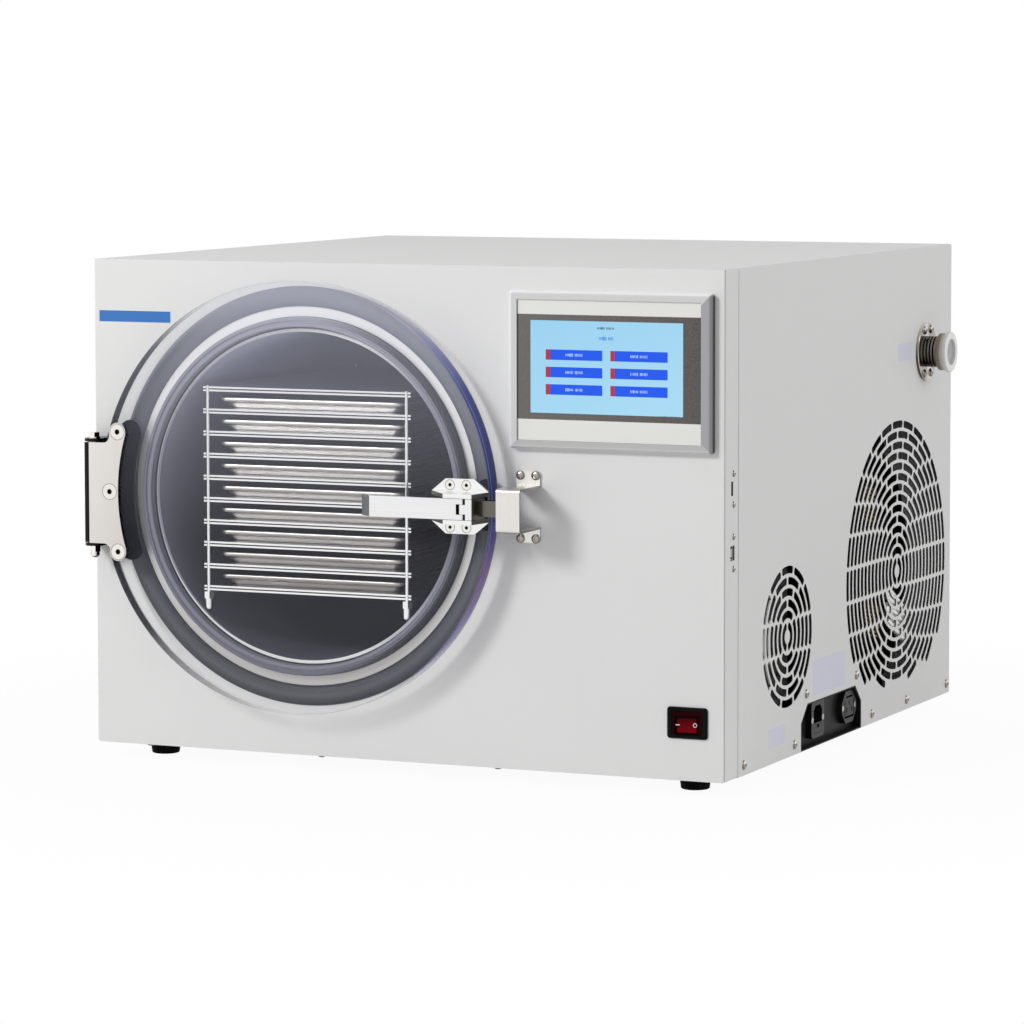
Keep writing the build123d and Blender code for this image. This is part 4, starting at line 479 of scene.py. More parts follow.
# The lip is painted bright on the left and dimmer on the right: painted light and shade.
lip_inner = sideways.ramp(-0.3, -0.9) * 2.0 * mm + (chamber_radius - 3.0 * mm)
lip = (deep < chamber_low.y + 0.8 * mm) * (out > lip_inner)
lip_tone = chamber.mix(sideways.ramp(0.35, 0.85), (0.97, 0.965, 0.95), (0.30, 0.30, 0.37))
chamber.paint(lip, gloom, lip_tone)
chamber.feed("Roughness", cloud * 0.1 + 0.45)
chamber.on("vacuum_chamber")

# %% Chamber flange
flange = Finish("flange_steel", (0.8, 0.8, 0.79), 0.35, metallic=0.6)
aside, _, rise, out = about_door(flange)
brushed = flange.noise(1.0, 2.0, flange.stretched((400.0, 30.0, 400.0)))
# The flange is painted paler towards the top, as painted light, and a painted shadow of the seal lies
# along its inner edge on the right.
upper = (rise / chamber_radius).ramp(-1.0, 0.6)
sheen = flange.mix(upper, (0.55, 0.535, 0.52), (1.0, 0.995, 0.985))
sheen = flange.mix(brushed * 0.06, sheen, (0.5, 0.5, 0.5))
rightness = (aside / chamber_radius).ramp(0.0, 0.95)
seal_shadow = 1.0 - (out - rightness * 1.2 * mm).ramp(172.5 * mm, 173.3 * mm)
flange.paint(seal_shadow, sheen, (0.045, 0.047, 0.062))
flange.feed("Roughness", brushed * 0.1 + 0.3)
flange.on("chamber_flange")

# %% [markdown]
# ## Door disc
# The door is a thick disc of clear acrylic. Its faces all but vanish behind a faint painted
# reflection that is paler towards the top, while its polished edge is painted with the light it
# gathers, as painted reflection: blue on the right over violet below to near black on the left, with
# thin painted highlight lines. The angle about the door's axis picks the tint, and the depth through
# the disc keeps it to a narrow band, as the bending of light in a thick plate does.

# %% Clear acrylic
acrylic = Finish("clear_acrylic", (0.5, 0.5, 0.55), 0.05, IOR=1.49, Specular_IOR_Level=0.3)
aside, deep, rise, out = about_door(acrylic)
turn = acrylic.turn(aside, rise)
through = deep.ramp(disc_low.y, disc_high.y)
edge = out.ramp(door_radius - 1.6 * mm, door_radius - 0.5 * mm)
edge_tint = acrylic.ramp_of(
    turn,
    [
        (0.00, (0.005, 0.005, 0.008)), (0.11, (0.006, 0.006, 0.010)), (0.17, (0.16, 0.165, 0.20)),
        (0.24, (0.62, 0.62, 0.64)), (0.33, (0.50, 0.48, 0.60)), (0.40, (0.22, 0.18, 0.40)),
        (0.455, (0.20, 0.09, 0.26)), (0.475, (0.10, 0.09, 0.33)), (0.52, (0.014, 0.028, 0.19)),
        (0.585, (0.020, 0.040, 0.25)), (0.62, (0.20, 0.22, 0.50)), (0.655, (0.58, 0.56, 0.70)),
        (0.75, (0.55, 0.55, 0.60)), (0.84, (0.30, 0.31, 0.36)), (0.89, (0.005, 0.005, 0.008)),
        (1.00, (0.005, 0.005, 0.008)),
    ],
)
solidity = [
    (0.00, 1.0), (0.11, 0.95), (0.18, 0.45), (0.24, 0.16), (0.33, 0.45), (0.40, 0.85),
    (0.60, 1.0), (0.66, 0.6), (0.72, 0.2), (0.82, 0.25), (0.88, 0.95), (1.00, 1.0),
]
edge_body = acrylic.ramp_of(turn, [(angle, (share, share, share)) for angle, share in solidity])
on_left = 1.0 - aside.ramp(-20 * mm, 20 * mm)
low_left = on_left * rise.ramp(60 * mm, -40 * mm)
# Painted highlight lines in the edge, and a painted blue reflection line on the right.
rim_highlight = (through.hump(0.70, 0.06) * low_left).higher(through.hump(0.95, 0.08) * (1.0 - on_left))
blue_reflection_line = through.hump(0.20, 0.08) * (1.0 - on_left) * 0.6
tint = acrylic.mix(blue_reflection_line, edge_tint, (0.16, 0.30, 0.86))
tint = acrylic.mix(rim_highlight, tint, (0.92, 0.92, 0.94))
band = 1.0 - on_left * through.ramp(0.73, 0.78)
face_reflection = (rise / door_radius).ramp(-0.2, 1.0)
face_tone = acrylic.mix(face_reflection, (0.46, 0.47, 0.56), (0.72, 0.75, 0.88))
acrylic.paint(edge, face_tone, tint)
acrylic.feed("Alpha", (edge * edge_body * band).higher(face_reflection * 0.105 + 0.042))
acrylic.feed("Roughness", acrylic.noise(60.0) * 0.03 + 0.03)
acrylic.on("door_disc")

# %% [markdown]
# ## Rubber rings
# A thick dark rubber ring trims the opening. It is round in section, so a soft painted highlight
# band runs along its crown, and it is painted paler towards the top, where it looks up at the lamps,
# as painted light. The grey silicone seal sits inside it.

# %% Ring finishes
def ring_rubber(name, low, middle, top, roughness, crown_radius, crown_width, crown_gain):
    """Rubber painted paler from the bottom of the door to its top, as painted light, with a painted
    highlight band on its crown.
    """
    rubber = Finish(name, middle, roughness, Specular_IOR_Level=0.25)
    _, _, rise, out = about_door(rubber)
    shade = rubber.ramp_of(rise / door_radius * 0.5 + 0.5, [(0.02, low), (0.5, middle), (0.97, top)])
    crown = out.hump(crown_radius, crown_width)
    rubber.tone = rubber.mix(crown * crown_gain, shade, (0.55, 0.56, 0.62))
    rubber.feed("Base Color", rubber.tone)
    rubber.bumpy(rubber.noise(900.0, 2.0), 0.00004, 0.3)
    rubber.feed("Roughness", rubber.noise(50.0) * 0.1 + (roughness - 0.05))
    return rubber


trim_low, trim_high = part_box("door_trim_ring")
flange_low, flange_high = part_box("chamber_flange")
trim_outer = (trim_high.x - trim_low.x) / 2
trim_inner = (flange_high.x - flange_low.x) / 2
ring_rubber(
    "trim_rubber", (0.013, 0.015, 0.020), (0.050, 0.053, 0.070), (0.275, 0.285, 0.335), 0.5,
    (trim_outer + trim_inner) / 2, (trim_outer - trim_inner) / 2, 0.17,
).on("door_trim_ring")
seal_low, seal_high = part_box("door_seal")
seal_radius = (seal_high.x - seal_low.x) / 2
silicone = ring_rubber(
    "seal_silicone", (0.18, 0.175, 0.225), (0.21, 0.212, 0.275), (0.42, 0.415, 0.48), 0.42,
    seal_radius - 7 * mm, 3 * mm, 0.18,
)
aside, _, _, out = about_door(silicone)
rightness = (aside / seal_radius).ramp(0.1, 0.6)
# A band of painted shade on the seal's outer part, on the right.
shaded = out.ramp(seal_radius - 4.6 * mm, seal_radius - 3.8 * mm) * rightness
silicone.paint(shaded, silicone.tone, (0.035, 0.037, 0.048))
silicone.on("door_seal")

# %% [markdown]
# ## Plastics and rubber
# Soft parts are matt with a very fine tooth. Moulded plastics have a spark-eroded grain, finer and
# sharper than rubber's. Black parts get a low specular level: they swallow nearly all light, and a
# full reflection of a white room would turn them grey.

# %% Moulded finishes
def cloudy(name, colour, roughness, specular, cloud_size, tones, spread=0.1):
    """Finish whose colour and gloss drift together in soft clouds."""
    finish = Finish(name, colour, roughness, Specular_IOR_Level=specular)
    cloud = finish.noise(*cloud_size)
    finish.feed("Roughness", cloud * spread + (roughness - spread / 2))
    finish.paint(cloud, *[toned(colour, tone) for tone in tones])
    return finish


def moulded(name, colour, roughness, grain, depth, specular=0.5):
    """Plastic or rubber with a fine tooth."""
    plastic = cloudy(name, colour, roughness, specular, (35.0, 2.0), (0.88, 1.1))
    plastic.bumpy(plastic.noise(grain, 2.0), depth, 0.4)
    return plastic


black = moulded("black_rubber", (0.0022, 0.0022, 0.0022), 0.7, 1400, 0.00008, 0.06)
black.on("feet", "compressor_mounts")
moulded("recess_plastic", (0.01, 0.01, 0.0105), 0.45, 1300, 0.00005, 0.1).on("power_recess")
sockets = moulded("socket_plastic", (0.012, 0.012, 0.0125), 0.35, 1300, 0.00005, 0.14)
sockets.on("pump_outlet", "fuse_drawer")
moulded("inlet_plastic", (0.007, 0.007, 0.0075), 0.35, 1300, 0.00005, 0.16).on("mains_inlet")
moulded("switch_plastic", (0.0035, 0.0035, 0.0035), 0.3, 1300, 0.00004, 0.06).on("switch_housing")
moulded("jacket_foam", (0.05, 0.05, 0.05), 0.9, 500, 0.0003).on("chamber_insulation")
moulded("heater_film", (0.3, 0.29, 0.28), 0.5, 500, 0.00003).on("shelf_heaters")
moulded("board_green", (0.03, 0.16, 0.08), 0.4, 800, 0.00004).on("control_board")

# %% Clamp pads
pad = moulded("pad_rubber", (0.012, 0.013, 0.022), 0.5, 1200.0, 0.00005, 0.1)
to_front, _, to_sky = pad.facing()
# The pads' upper edges, turned away from the front, get a painted highlight.
top_edge_highlight = (1.0 - to_front.ramp(0.5, 0.9)) * to_sky.ramp(-0.2, 0.6)
pad.paint(top_edge_highlight, (0.012, 0.0135, 0.023), (0.20, 0.21, 0.25))
pad.on("clamp_pads")

# %% Port cap
cap = moulded("cap_plastic", (0.8, 0.79, 0.77), 0.42, 700.0, 0.00003)
across, behind, above = about_port(cap)
_, to_right, _ = cap.facing()
dish = 1.0 - reach(behind, above).ramp(13.2 * mm, 14.2 * mm)
frost = cap.mix(cap.noise(220.0, 2.0), (0.36, 0.37, 0.385), (0.52, 0.53, 0.545))
front_tone = cap.mix(dish, (0.93, 0.925, 0.91), frost)
cap_low, cap_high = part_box("port_cap")
neck = cap.ramp_of(
    across.ramp(cap_low.x, cap_high.x),
    [
        (0.0, (0.16, 0.13, 0.09)), (0.32, (0.26, 0.22, 0.165)), (0.42, (0.52, 0.49, 0.44)),
        (0.75, (0.78, 0.76, 0.73)),
    ],
)
cap.paint(to_right.ramp(0.3, 0.8), neck, front_tone)
cap.on("port_cap")

# %% [markdown]
# ## Behind the vents
# Through the slots one sees almost nothing: dark fins, the fan and its ring. Their finishes are
# nearly black, as painted shade, since in the real casing the light dies out behind the first slots.
# The power supply behind the small vent is bare zinc and does catch some; its rear half is painted
# near black, as painted shade.

# %% Dark inner parts
def dim(name, colour, roughness=0.6):
    """Dusty finish with hardly any gloss."""
    return cloudy(name, colour, roughness, 0.05, (160.0, 3.0), (0.6, 1.4), 0.2)


dim("shroud_black", (0.0035, 0.0035, 0.003)).on("fan_shroud", "condenser_fan", "fan_motor")
dim("fin_shadow", (0.004, 0.004, 0.003)).on("condenser")
dim("compressor_black", (0.01, 0.01, 0.01)).on("compressor")
supply = dim("supply_zinc", (0.55, 0.53, 0.51), 0.45)
supply.shader.inputs["Metallic"].default_value = 0.7
_, deep, _ = supply.axes()
supply_low, supply_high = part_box("power_supply")
supply_middle = (supply_low.y + supply_high.y) / 2
# The rear half of the supply is painted near black, as painted shade.
rear_shade = deep.ramp(supply_middle - 6 * mm, supply_middle - 2 * mm)
supply.paint(rear_shade, (1.0, 0.97, 0.94), (0.006, 0.006, 0.006))
supply.on("power_supply")
dim("bare_copper", (0.30, 0.13, 0.06), 0.4).on("refrigerant_pipes", "evaporator_coil")
dim("pipe_steel", (0.30, 0.30, 0.30), 0.4).on("vacuum_pipe")

# %% Service sockets
board = dim("service_sockets", (0.03, 0.03, 0.03), 0.4)
across, _, high = board.axes()
shell = (across > right - 1.9 * mm) * (high < base + 241 * mm)
board.paint(shell, (0.006, 0.006, 0.006), (0.62, 0.61, 0.59))
board.on("service_board")

# %% [markdown]
# ## Power switch
# The rocker is one translucent red moulding over a dark case. Where it is thickest it looks almost
# black, and a lighter window shows in the middle, with painted light brightest at its lower edge.

# %% Red rocker
rocker_low, rocker_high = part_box("switch_rocker")
rocker_middle = (rocker_low + rocker_high) / 2
red_lens = Finish("red_rocker", (0.30, 0.01, 0.012), 0.18, Specular_IOR_Level=0.02)
across, _, high = red_lens.axes()
out_x = (across - rocker_middle.x).size()
out_z = (high - (rocker_middle.z - 2.0 * mm)).size()
window = (1.0 - out_x.ramp(8.6 * mm, 9.3 * mm)) * (1.0 - out_z.ramp(6.2 * mm, 6.9 * mm))
well = (1.0 - out_x.ramp(11.2 * mm, 12.0 * mm)) * (1.0 - out_z.ramp(8.4 * mm, 9.2 * mm))
# Painted light in the window, brightest at its lower edge.
lower_part = high.ramp(rocker_middle.z + 4 * mm, rocker_middle.z - 7 * mm)
glow = red_lens.mix(lower_part, (0.075, 0.002, 0.004), (0.20, 0.002, 0.006))
rim = red_lens.mix(well, (0.022, 0.0010, 0.0022), (0.0035, 0.0008, 0.0010))
red_lens.paint(window, rim, glow)
red_lens.feed("Roughness", red_lens.noise(80.0) * 0.08 + 0.14)
red_lens.on("switch_rocker")

# %% [markdown]
# ## Touchscreen
# A printed film covers the screen: off-white bands above and below, and a dark frame around the
# lit display. Bands are masks on the height, mixed into one colour, and a fine speckle gives the dark
# print its tooth. The bezel is a grey moulding whose mitred edges and strips are painted lighter or
# darker by the way they lean and the side they lie on, as painted light and shade, and its outer right
# side is painted near black, as painted shade.

# %% Screen film
overlay_low, overlay_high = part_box("screen_overlay")
film = Finish("screen_film", (0.14, 0.12, 0.10), 0.3, Specular_IOR_Level=0.25)
across, _, high = film.axes()
dark_band = high.between(from_corner(0, 332.7).z, from_corner(0, 431.0).z)
speckle = film.noise(1500.0, 1.0)
rightness = across.ramp(overlay_low.x, overlay_high.x)
frame_tone = film.mix(rightness, (0.150, 0.140, 0.134), (0.088, 0.078, 0.075))
frame_tone = film.mix(speckle.ramp(0.42, 0.62) * 0.35, frame_tone, (0.24, 0.22, 0.21))
film.paint(dark_band, (0.86, 0.865, 0.82), frame_tone)
film.feed("Roughness", film.noise(30.0) * 0.08 + 0.26)
film.on("screen_overlay")

# %% Bezel
bezel = moulded("grey_bezel", (0.60, 0.60, 0.62), 0.42, 1200.0, 0.00005, 0.3)
_, to_right, to_sky = bezel.facing()
lean = (to_sky - to_right) * 0.5 + 0.5
bezel_low, bezel_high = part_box("screen_bezel")
across, _, high = bezel.axes()
from_right, from_left = bezel_high.x - across, across - bezel_low.x
from_foot, from_head = high - bezel_low.z, bezel_high.z - high
from_side, from_level = from_right.lower(from_left), from_foot.lower(from_head)
right_strip = (from_right < from_level) * (from_right < from_left)
foot_strip = (from_foot < from_side) * (from_foot < from_head)
# Painted highlight on the outer edges, and painted shade on the right strip and the foot strip.
edge_light_and_shade = bezel.mix(right_strip, (0.92, 0.92, 0.93), (0.12, 0.12, 0.12))
bezel_tone = bezel.mix(lean, (0.38, 0.375, 0.385), (1.0, 1.0, 1.0))
bezel_tone = bezel.mix(foot_strip * 0.6, bezel_tone, (0.42, 0.42, 0.425))
bezel_tone = bezel.mix(right_strip * 0.8, bezel_tone, (0.34, 0.33, 0.345))
bezel_tone = bezel.mix(from_side.lower(from_level).ramp(4.5 * mm, 1.0 * mm) * 0.35, bezel_tone, edge_light_and_shade)
# The bezel's outer right side is painted near black, as painted shade.
right_side_shade = to_right.ramp(0.90, 0.99)
bezel.paint(right_side_shade * 0.9, bezel_tone, (0.02, 0.02, 0.02))
bezel.on("screen_bezel")

# %% Lit display
display_low, display_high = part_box("display_panel")
display = Finish("lit_display", (0.0, 0.0, 0.0), 0.4, Emission_Strength=1.0, Specular_IOR_Level=0.1)
across, _, high = display.axes()
leftness = 1.0 - across.ramp(display_low.x, display_high.x)
corner_glow = high.ramp(display_low.z, display_high.z) * 0.6 + leftness * 0.4
cells = display.noise(900.0, 1.0)
backlight = display.mix(corner_glow, (0.42, 0.72, 0.905), (0.33, 0.64, 0.88))
display.feed("Emission Color", display.mix(cells * 0.10, backlight, (0.28, 0.58, 0.84)))
display.on("display_panel")

# %% [markdown]
# ## Thin printed plates
# Labels, keys and marks are plates a tenth of a millimetre thick. Each is an outline with rounded
# corners, filled and given its thickness, with its place in the mesh so that the object itself
# stays at the origin.

# %% Plates
def put_in_scene(name, data):
    """Object at the origin that shows a mesh, a lamp or a camera."""
    made = bpy.data.objects.new(name, data)
    bpy.context.scene.collection.objects.link(made)
    return made


def keep_form(name, form, finish=None):
    """Turn a bmesh into an object."""
    bmesh.ops.recalc_face_normals(form, faces=form.faces)
    mesh = bpy.data.meshes.new(name)
    form.to_mesh(mesh)
    form.free()
    if finish:
        mesh.materials.append(finish.material)
    return put_in_scene(name, mesh)


def rounded_outline(width, height, corner, steps=5):
    """Points of a rounded rectangle around the origin, anticlockwise."""
    points = []
    for quarter, (sx, sz) in enumerate([(1, 1), (-1, 1), (-1, -1), (1, -1)]):
        for step in range(steps + 1):
            angle = math.radians(90 * quarter + 90 * step / steps)
            points.append(
                (
                    sx * (width / 2 - corner) + corner * math.cos(angle),
                    sz * (height / 2 - corner) + corner * math.sin(angle),
                )
            )
    return points


def upright_loop(form, centre, across, outline, depth):
    """Corners in a plane spanned by across and up, set forward by a depth."""
    outward = across.cross(upward).normalized()
    return [form.verts.new(centre + across * u + upward * v + outward * depth) for u, v in outline]


def skin(form, first, second):
    """A band of quads between two loops of corners."""
    for index in range(len(first)):
        after = (index + 1) % len(first)
        form.faces.new((first[index], first[after], second[after], second[index]))


def plate(centre, across, size, corner, thickness):
    """Upright rounded plate: its back lies at the centre and its face looks along across x up."""
    form = bmesh.new()
    outline = rounded_outline(*size, corner)
    back, face = (upright_loop(form, centre, across, outline, depth) for depth in (0.0, thickness))
    form.faces.new(face)
    form.faces.new(list(reversed(back)))
    skin(form, back, face)
    return form


def ring(centre, across, outer, inner, thickness, steps=28):
    """Flat upright ring with its back at the centre."""
    form = bmesh.new()
    turns = [math.tau * step / steps for step in range(steps)]
    loops = []
    for radius, depth in ((outer, 0.0), (outer, thickness), (inner, thickness), (inner, 0.0)):
        outline = [(radius * math.cos(turn), radius * math.sin(turn)) for turn in turns]
        loops.append(upright_loop(form, centre, across, outline, depth))
    for first, second in zip(loops, loops[1:] + loops[:1]):
        skin(form, first, second)
    return form


rightward, upward, rearward = Vector((1, 0, 0)), Vector((0, 0, 1)), Vector((0, 1, 0))
origin = Vector((0, 0, 0))


# %% Blank labels
def printed(name, colour, roughness=0.45):
    """Flat ink or film."""
    return cloudy(name, colour, roughness, 0.3, (120.0, 2.0), (0.96, 1.0))


name_blue = printed("name_blue", (0.045, 0.20, 0.56), 0.35)
label_film = printed("label_film", (0.76, 0.765, 0.90))
name_bar = plate(from_corner(44.6, 419.4), rightward, (78.4 * mm, 10.8 * mm), 0.2 * mm, 0.12 * mm)
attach(keep_form("name_bar", name_bar, name_blue), "cabinet")
for name, near, far, low, high in [
    ("port_label", 490, 531, 361, 379),
    ("plate_label", 240, 330, 50.5, 85),
    ("inlet_label", 117, 160, 16, 34.3),
]:
    centre = on_side((near + far) / 2, (low + high) / 2)
    blank = plate(centre, rearward, ((far - near) * mm, (high - low) * mm), 0.3 * mm, 0.1 * mm)
    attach(keep_form(name, blank, label_film), "cabinet")
print("labels placed")

# %% [markdown]
# ## Geometry Nodes
# Two node trees make everything that repeats or runs along a path. The first puts one shape on
# every point that it is given, and can vary the shape's width at random. The second walks a zigzag,
# rounds its corners and sweeps a tube along it. Both end in one plain mesh.

# %% Tree helpers
def new_tree(name, inputs):
    """Empty Geometry Nodes tree with named inputs, and a helper that adds nodes to it."""
    tree = bpy.data.node_groups.new(name, "GeometryNodeTree")
    for label, kind in inputs:
        tree.interface.new_socket(label, in_out="INPUT", socket_type="NodeSocket" + kind)
    tree.interface.new_socket("Geometry", in_out="OUTPUT", socket_type="NodeSocketGeometry")
    given, result = tree.nodes.new("NodeGroupInput"), tree.nodes.new("NodeGroupOutput")

    def add(kind, settings, sockets, output=0):
        node = tree.nodes.new(kind)
        for setting, value in settings.items():
            setattr(node, setting, value)
        for socket, value in sockets.items():
            if isinstance(value, bpy.types.NodeSocket):
                tree.links.new(value, node.inputs[socket])
            else:
                node.inputs[socket].default_value = value
        return node.outputs[output]

    def finish(geometry):
        real = add("GeometryNodeRealizeInstances", {}, {"Geometry": geometry})
        sockets = {"Geometry": real, "Material": given.outputs["Finish"]}
        paint = add("GeometryNodeSetMaterial", {}, sockets)
        tree.links.new(paint, result.inputs["Geometry"])
        return tree

    return given.outputs, add, finish


def run_tree(name, tree, values, body, points=()):
    """Run a tree on loose points and keep the result as a plain mesh object."""
    seeds = bpy.data.meshes.new(name + "_points")
    seeds.from_pydata([tuple(point) for point in points], [], [])
    host = put_in_scene(name + "_host", seeds)
    modifier = host.modifiers.new("tree", "NODES")
    modifier.node_group = tree
    for item in tree.interface.items_tree:
        if item.name in values:
            modifier[item.identifier] = values[item.name]
    evaluated = host.evaluated_get(bpy.context.evaluated_depsgraph_get())
    mesh = bpy.data.meshes.new_from_object(evaluated)
    host.modifiers.clear()
    bpy.data.objects.remove(host)
    mesh.name = name
    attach(put_in_scene(name, mesh), body)
    print(f"{name}: {len(mesh.polygons)} faces")


# %% Scatter tree
given, add, finish_tree = new_tree(
    "shape_on_points",
    [("Points", "Geometry"), ("Shape", "Object"), ("Least", "Vector"), ("Most", "Vector"),
     ("Finish", "Material")],
)
shape = add("GeometryNodeObjectInfo", {}, {"Object": given["Shape"]}, output=-1)
limits = {0: given["Least"], 1: given["Most"], "Seed": 7}
widths = add("FunctionNodeRandomValue", {"data_type": "FLOAT_VECTOR"}, limits)
sockets = {"Points": given["Points"], "Instance": shape, "Scale": widths}
scatter_tree = finish_tree(add("GeometryNodeInstanceOnPoints", {}, sockets))


def scatter(name, form, points, finish, body, least=(1, 1, 1), most=(1, 1, 1)):
    """One shape on many points as a single object."""
    shape = keep_form(name + "_one", form)
    values = {"Shape": shape, "Least": least, "Most": most, "Finish": finish.material}
    run_tree(name, scatter_tree, values, body, points)
    bpy.data.objects.remove(shape)


# %% Zigzag tree
given, add, finish_tree = new_tree(
    "zigzag_tube",
    [("Points", "Geometry"), ("Start", "Vector"), ("Step", "Vector"), ("Run", "Vector"),
     ("Count", "Int"), ("Bend", "Float"), ("Radius", "Float"), ("Finish", "Material")],
)


def sums(kind, operation, first, second=0.0, socket=1):
    return add(f"ShaderNode{kind}", {"operation": operation}, {0: first, socket: second})


half = sums("Math", "MULTIPLY", add("GeometryNodeInputIndex", {}, {}), 0.5)
pair, later = sums("Math", "FLOOR", half), sums("Math", "CEIL", half)
side = sums("Math", "FLOORED_MODULO", later, 2.0)
stepped = sums("VectorMath", "SCALE", given["Step"], pair, "Scale")
swung = sums("VectorMath", "SCALE", given["Run"], side, "Scale")
shifted = sums("VectorMath", "ADD", stepped, swung)
spot = sums("VectorMath", "ADD", given["Start"], shifted)
line = add("GeometryNodeMeshLine", {}, {"Count": given["Count"]})
zigzag = add("GeometryNodeSetPosition", {}, {"Geometry": line, "Position": spot})
curve = add("GeometryNodeMeshToCurve", {}, {"Mesh": zigzag})
corner = {"Curve": curve, "Count": 7, "Radius": given["Bend"], "Limit Radius": True}
bent = add("GeometryNodeFilletCurve", {"mode": "POLY"}, corner)
outline = add("GeometryNodeCurvePrimitiveCircle", {}, {"Resolution": 16, "Radius": given["Radius"]})
tube = add("GeometryNodeCurveToMesh", {}, {"Curve": bent, "Profile Curve": outline, "Fill Caps": True})
smooth = add("GeometryNodeSetShadeSmooth", {}, {"Geometry": tube})
zigzag_tree = finish_tree(smooth)

# %% [markdown]
# ## Coils behind the vents
# Behind the large vent a pale serpentine of tube and two small coils of brass capillary catch some
# light. They are guesses at parts that show only in slices between the slots.

# %% Vent coils
inner_wall = right - 1.5 * mm
pale_tube = Finish("pale_tube", (0.62, 0.615, 0.60), 0.4, metallic=0.3)
tube_cloud = pale_tube.noise(60.0)
pale_tube.paint(tube_cloud, (0.90, 0.89, 0.87), (1.0, 0.99, 0.98))
brass = Finish("brass_capillary", (0.19, 0.125, 0.025), 0.4, metallic=0.3)
mottle = brass.noise(160.0, 3.0).ramp(0.35, 0.65)
brass.paint(mottle, (0.07, 0.05, 0.015), (0.32, 0.235, 0.06))
for name, low, high, count, slant, thick, finish in [
    ("return_bends", (164, 83), (224, 150), 10, 34.0, 3.2, pale_tube),
    ("upper_capillary", (88, 216), (128, 258), 16, 10.0, 1.5, brass),
    ("lower_capillary", (93, 99), (139, 138), 16, 10.0, 1.5, brass),
]:
    depth = inner_wall - thick * mm
    turns = count // 2
    pitch = (high[1] - low[1] - slant) / (turns - 1)
    values = {
        "Start": (depth, (low[0] + thick) * mm, (low[1] + slant - thick) * mm),
        "Run": (0.0, (high[0] - low[0] - 2 * thick) * mm, -(slant - 2 * thick) * mm),
        "Step": (0.0, 0.0, pitch * mm),
        "Count": count, "Bend": pitch * 0.48 * mm, "Radius": thick * mm, "Finish": finish.material,
    }
    run_tree(name, zigzag_tree, values, "cabinet")

# %% [markdown]
# ## Rims around the screws
# A countersunk head never fills its sink, and the gap around it reads as a thin dark ring of shade.
# A thin dark ring plate laid around each head paints that shadow. The screws' own solids give the
# places: the middle of every loose part of their meshes, once the triangles of each part are joined.

# %% Screw rims
def part_boxes(name):
    """Corners of the box around each loose part of a node's mesh."""
    form = bmesh.new()
    form.from_mesh(nodes[name].data)
    form.transform(nodes[name].matrix_world)
    bmesh.ops.remove_doubles(form, verts=form.verts, dist=0.02 * mm)
    waiting, boxes = set(form.verts), []
    while waiting:
        group, rest = [], [waiting.pop()]
        while rest:
            vertex = rest.pop()
            group.append(vertex.co.copy())
            for edge in vertex.link_edges:
                other = edge.other_vert(vertex)
                if other in waiting:
                    waiting.remove(other)
                    rest.append(other)
        boxes.append([Vector(map(pick, *group)) for pick in (min, max)])
    form.free()
    return boxes


# The rings are a painted shadow of the gaps.
gap_shadow_finish = printed("gap_shadow", (0.035, 0.03, 0.028), 0.6)
for name in ("hinge_screws", "latch_screws"):
    boxes = part_boxes(name)
    places = [Vector(((low.x + high.x) / 2, low.y, (low.z + high.z) / 2)) for low, high in boxes]
    head = max(high.x - low.x for low, high in boxes) / 2
    rim = ring(origin, rightward, head + 0.2 * mm, head - 0.2 * mm, 0.05 * mm, 40)
    scatter(name + "_rims", rim, places, gap_shadow_finish, "door")

# %% [markdown]
# ## Screen
# The home screen has six keys in two columns, each with a red tab and a caption. The captions and
# the headings are greeked: rows of short ticks of uneven width stand for writing.

# %% Screen keys
def lit(name, colour):
    """Finish that glows in one colour, barely stirred."""
    shine = Finish(name, toned(colour, 0.1), 0.4, Emission_Strength=1.0, Specular_IOR_Level=0.1)
    steps = shine.noise(200.0, 1.0)
    shine.feed("Emission Color", shine.mix(steps, toned(colour, 0.94), toned(colour, 1.04)))
    return shine


key_width, key_height = 57.2 * mm, 9.7 * mm
columns, rows = (511.6, 576.9), (393.45, 377.2, 360.95)
letter_pitch, word_ends = 1.35, (6, 13)


def on_screen(along, up):
    return Vector((left + along * mm, display_low.y, base + up * mm))


def ticks(along, up, width):
    """Places of a row of greeked letters, centred, with gaps between the words."""
    count = int(width / letter_pitch)
    first = along - (count - 1) / 2 * letter_pitch
    return [on_screen(first + k * letter_pitch, up) for k in range(count) if k not in word_ends]


key_spots = [on_screen(along, up) for along in columns for up in rows]
one_key = plate(origin, rightward, (key_width, key_height), 0.5 * mm, 0.05 * mm)
scatter("screen_keys", one_key, key_spots, lit("key_blue", (0.018, 0.098, 0.78)), "cabinet")
one_tab = plate(rightward * -26.4 * mm, rightward, (4.4 * mm, key_height), 0.3 * mm, 0.09 * mm)
scatter("screen_tabs", one_tab, key_spots, lit("tab_red", (0.418, 0.038, 0.074)), "cabinet")
captions = [(along, up, 18) for along in columns for up in rows]
for name, finish, lines, height in [
    ("screen_captions", lit("caption_white", (0.42, 0.56, 0.95)), captions, 3.0),
    ("screen_title", lit("title_blue", (0.045, 0.08, 0.156)), [(544, 419, 20)], 2.4),
    ("screen_heading", lit("heading_blue", (0.061, 0.262, 0.644)), [(544, 409.5, 15)], 3.6),
    ("screen_clock", lit("clock_blue", (0.13, 0.27, 0.42)), [(607.4, 338.6, 21)], 1.5),
]:
    places = [place for along, up, width in lines for place in ticks(along, up, width)]
    tick = plate(origin, rightward, (0.75 * mm, height * mm), 0.2 * mm, 0.08 * mm)
    scatter(name, tick, places, finish, "cabinet", (0.6, 1, 0.7), (1.3, 1, 1.0))

# %% [markdown]
# ## Marks on the rocker
# The two marks are generic: a bar for on and a ring for off. They lie on the rocker's faces, so
# they ride with it when it tips.

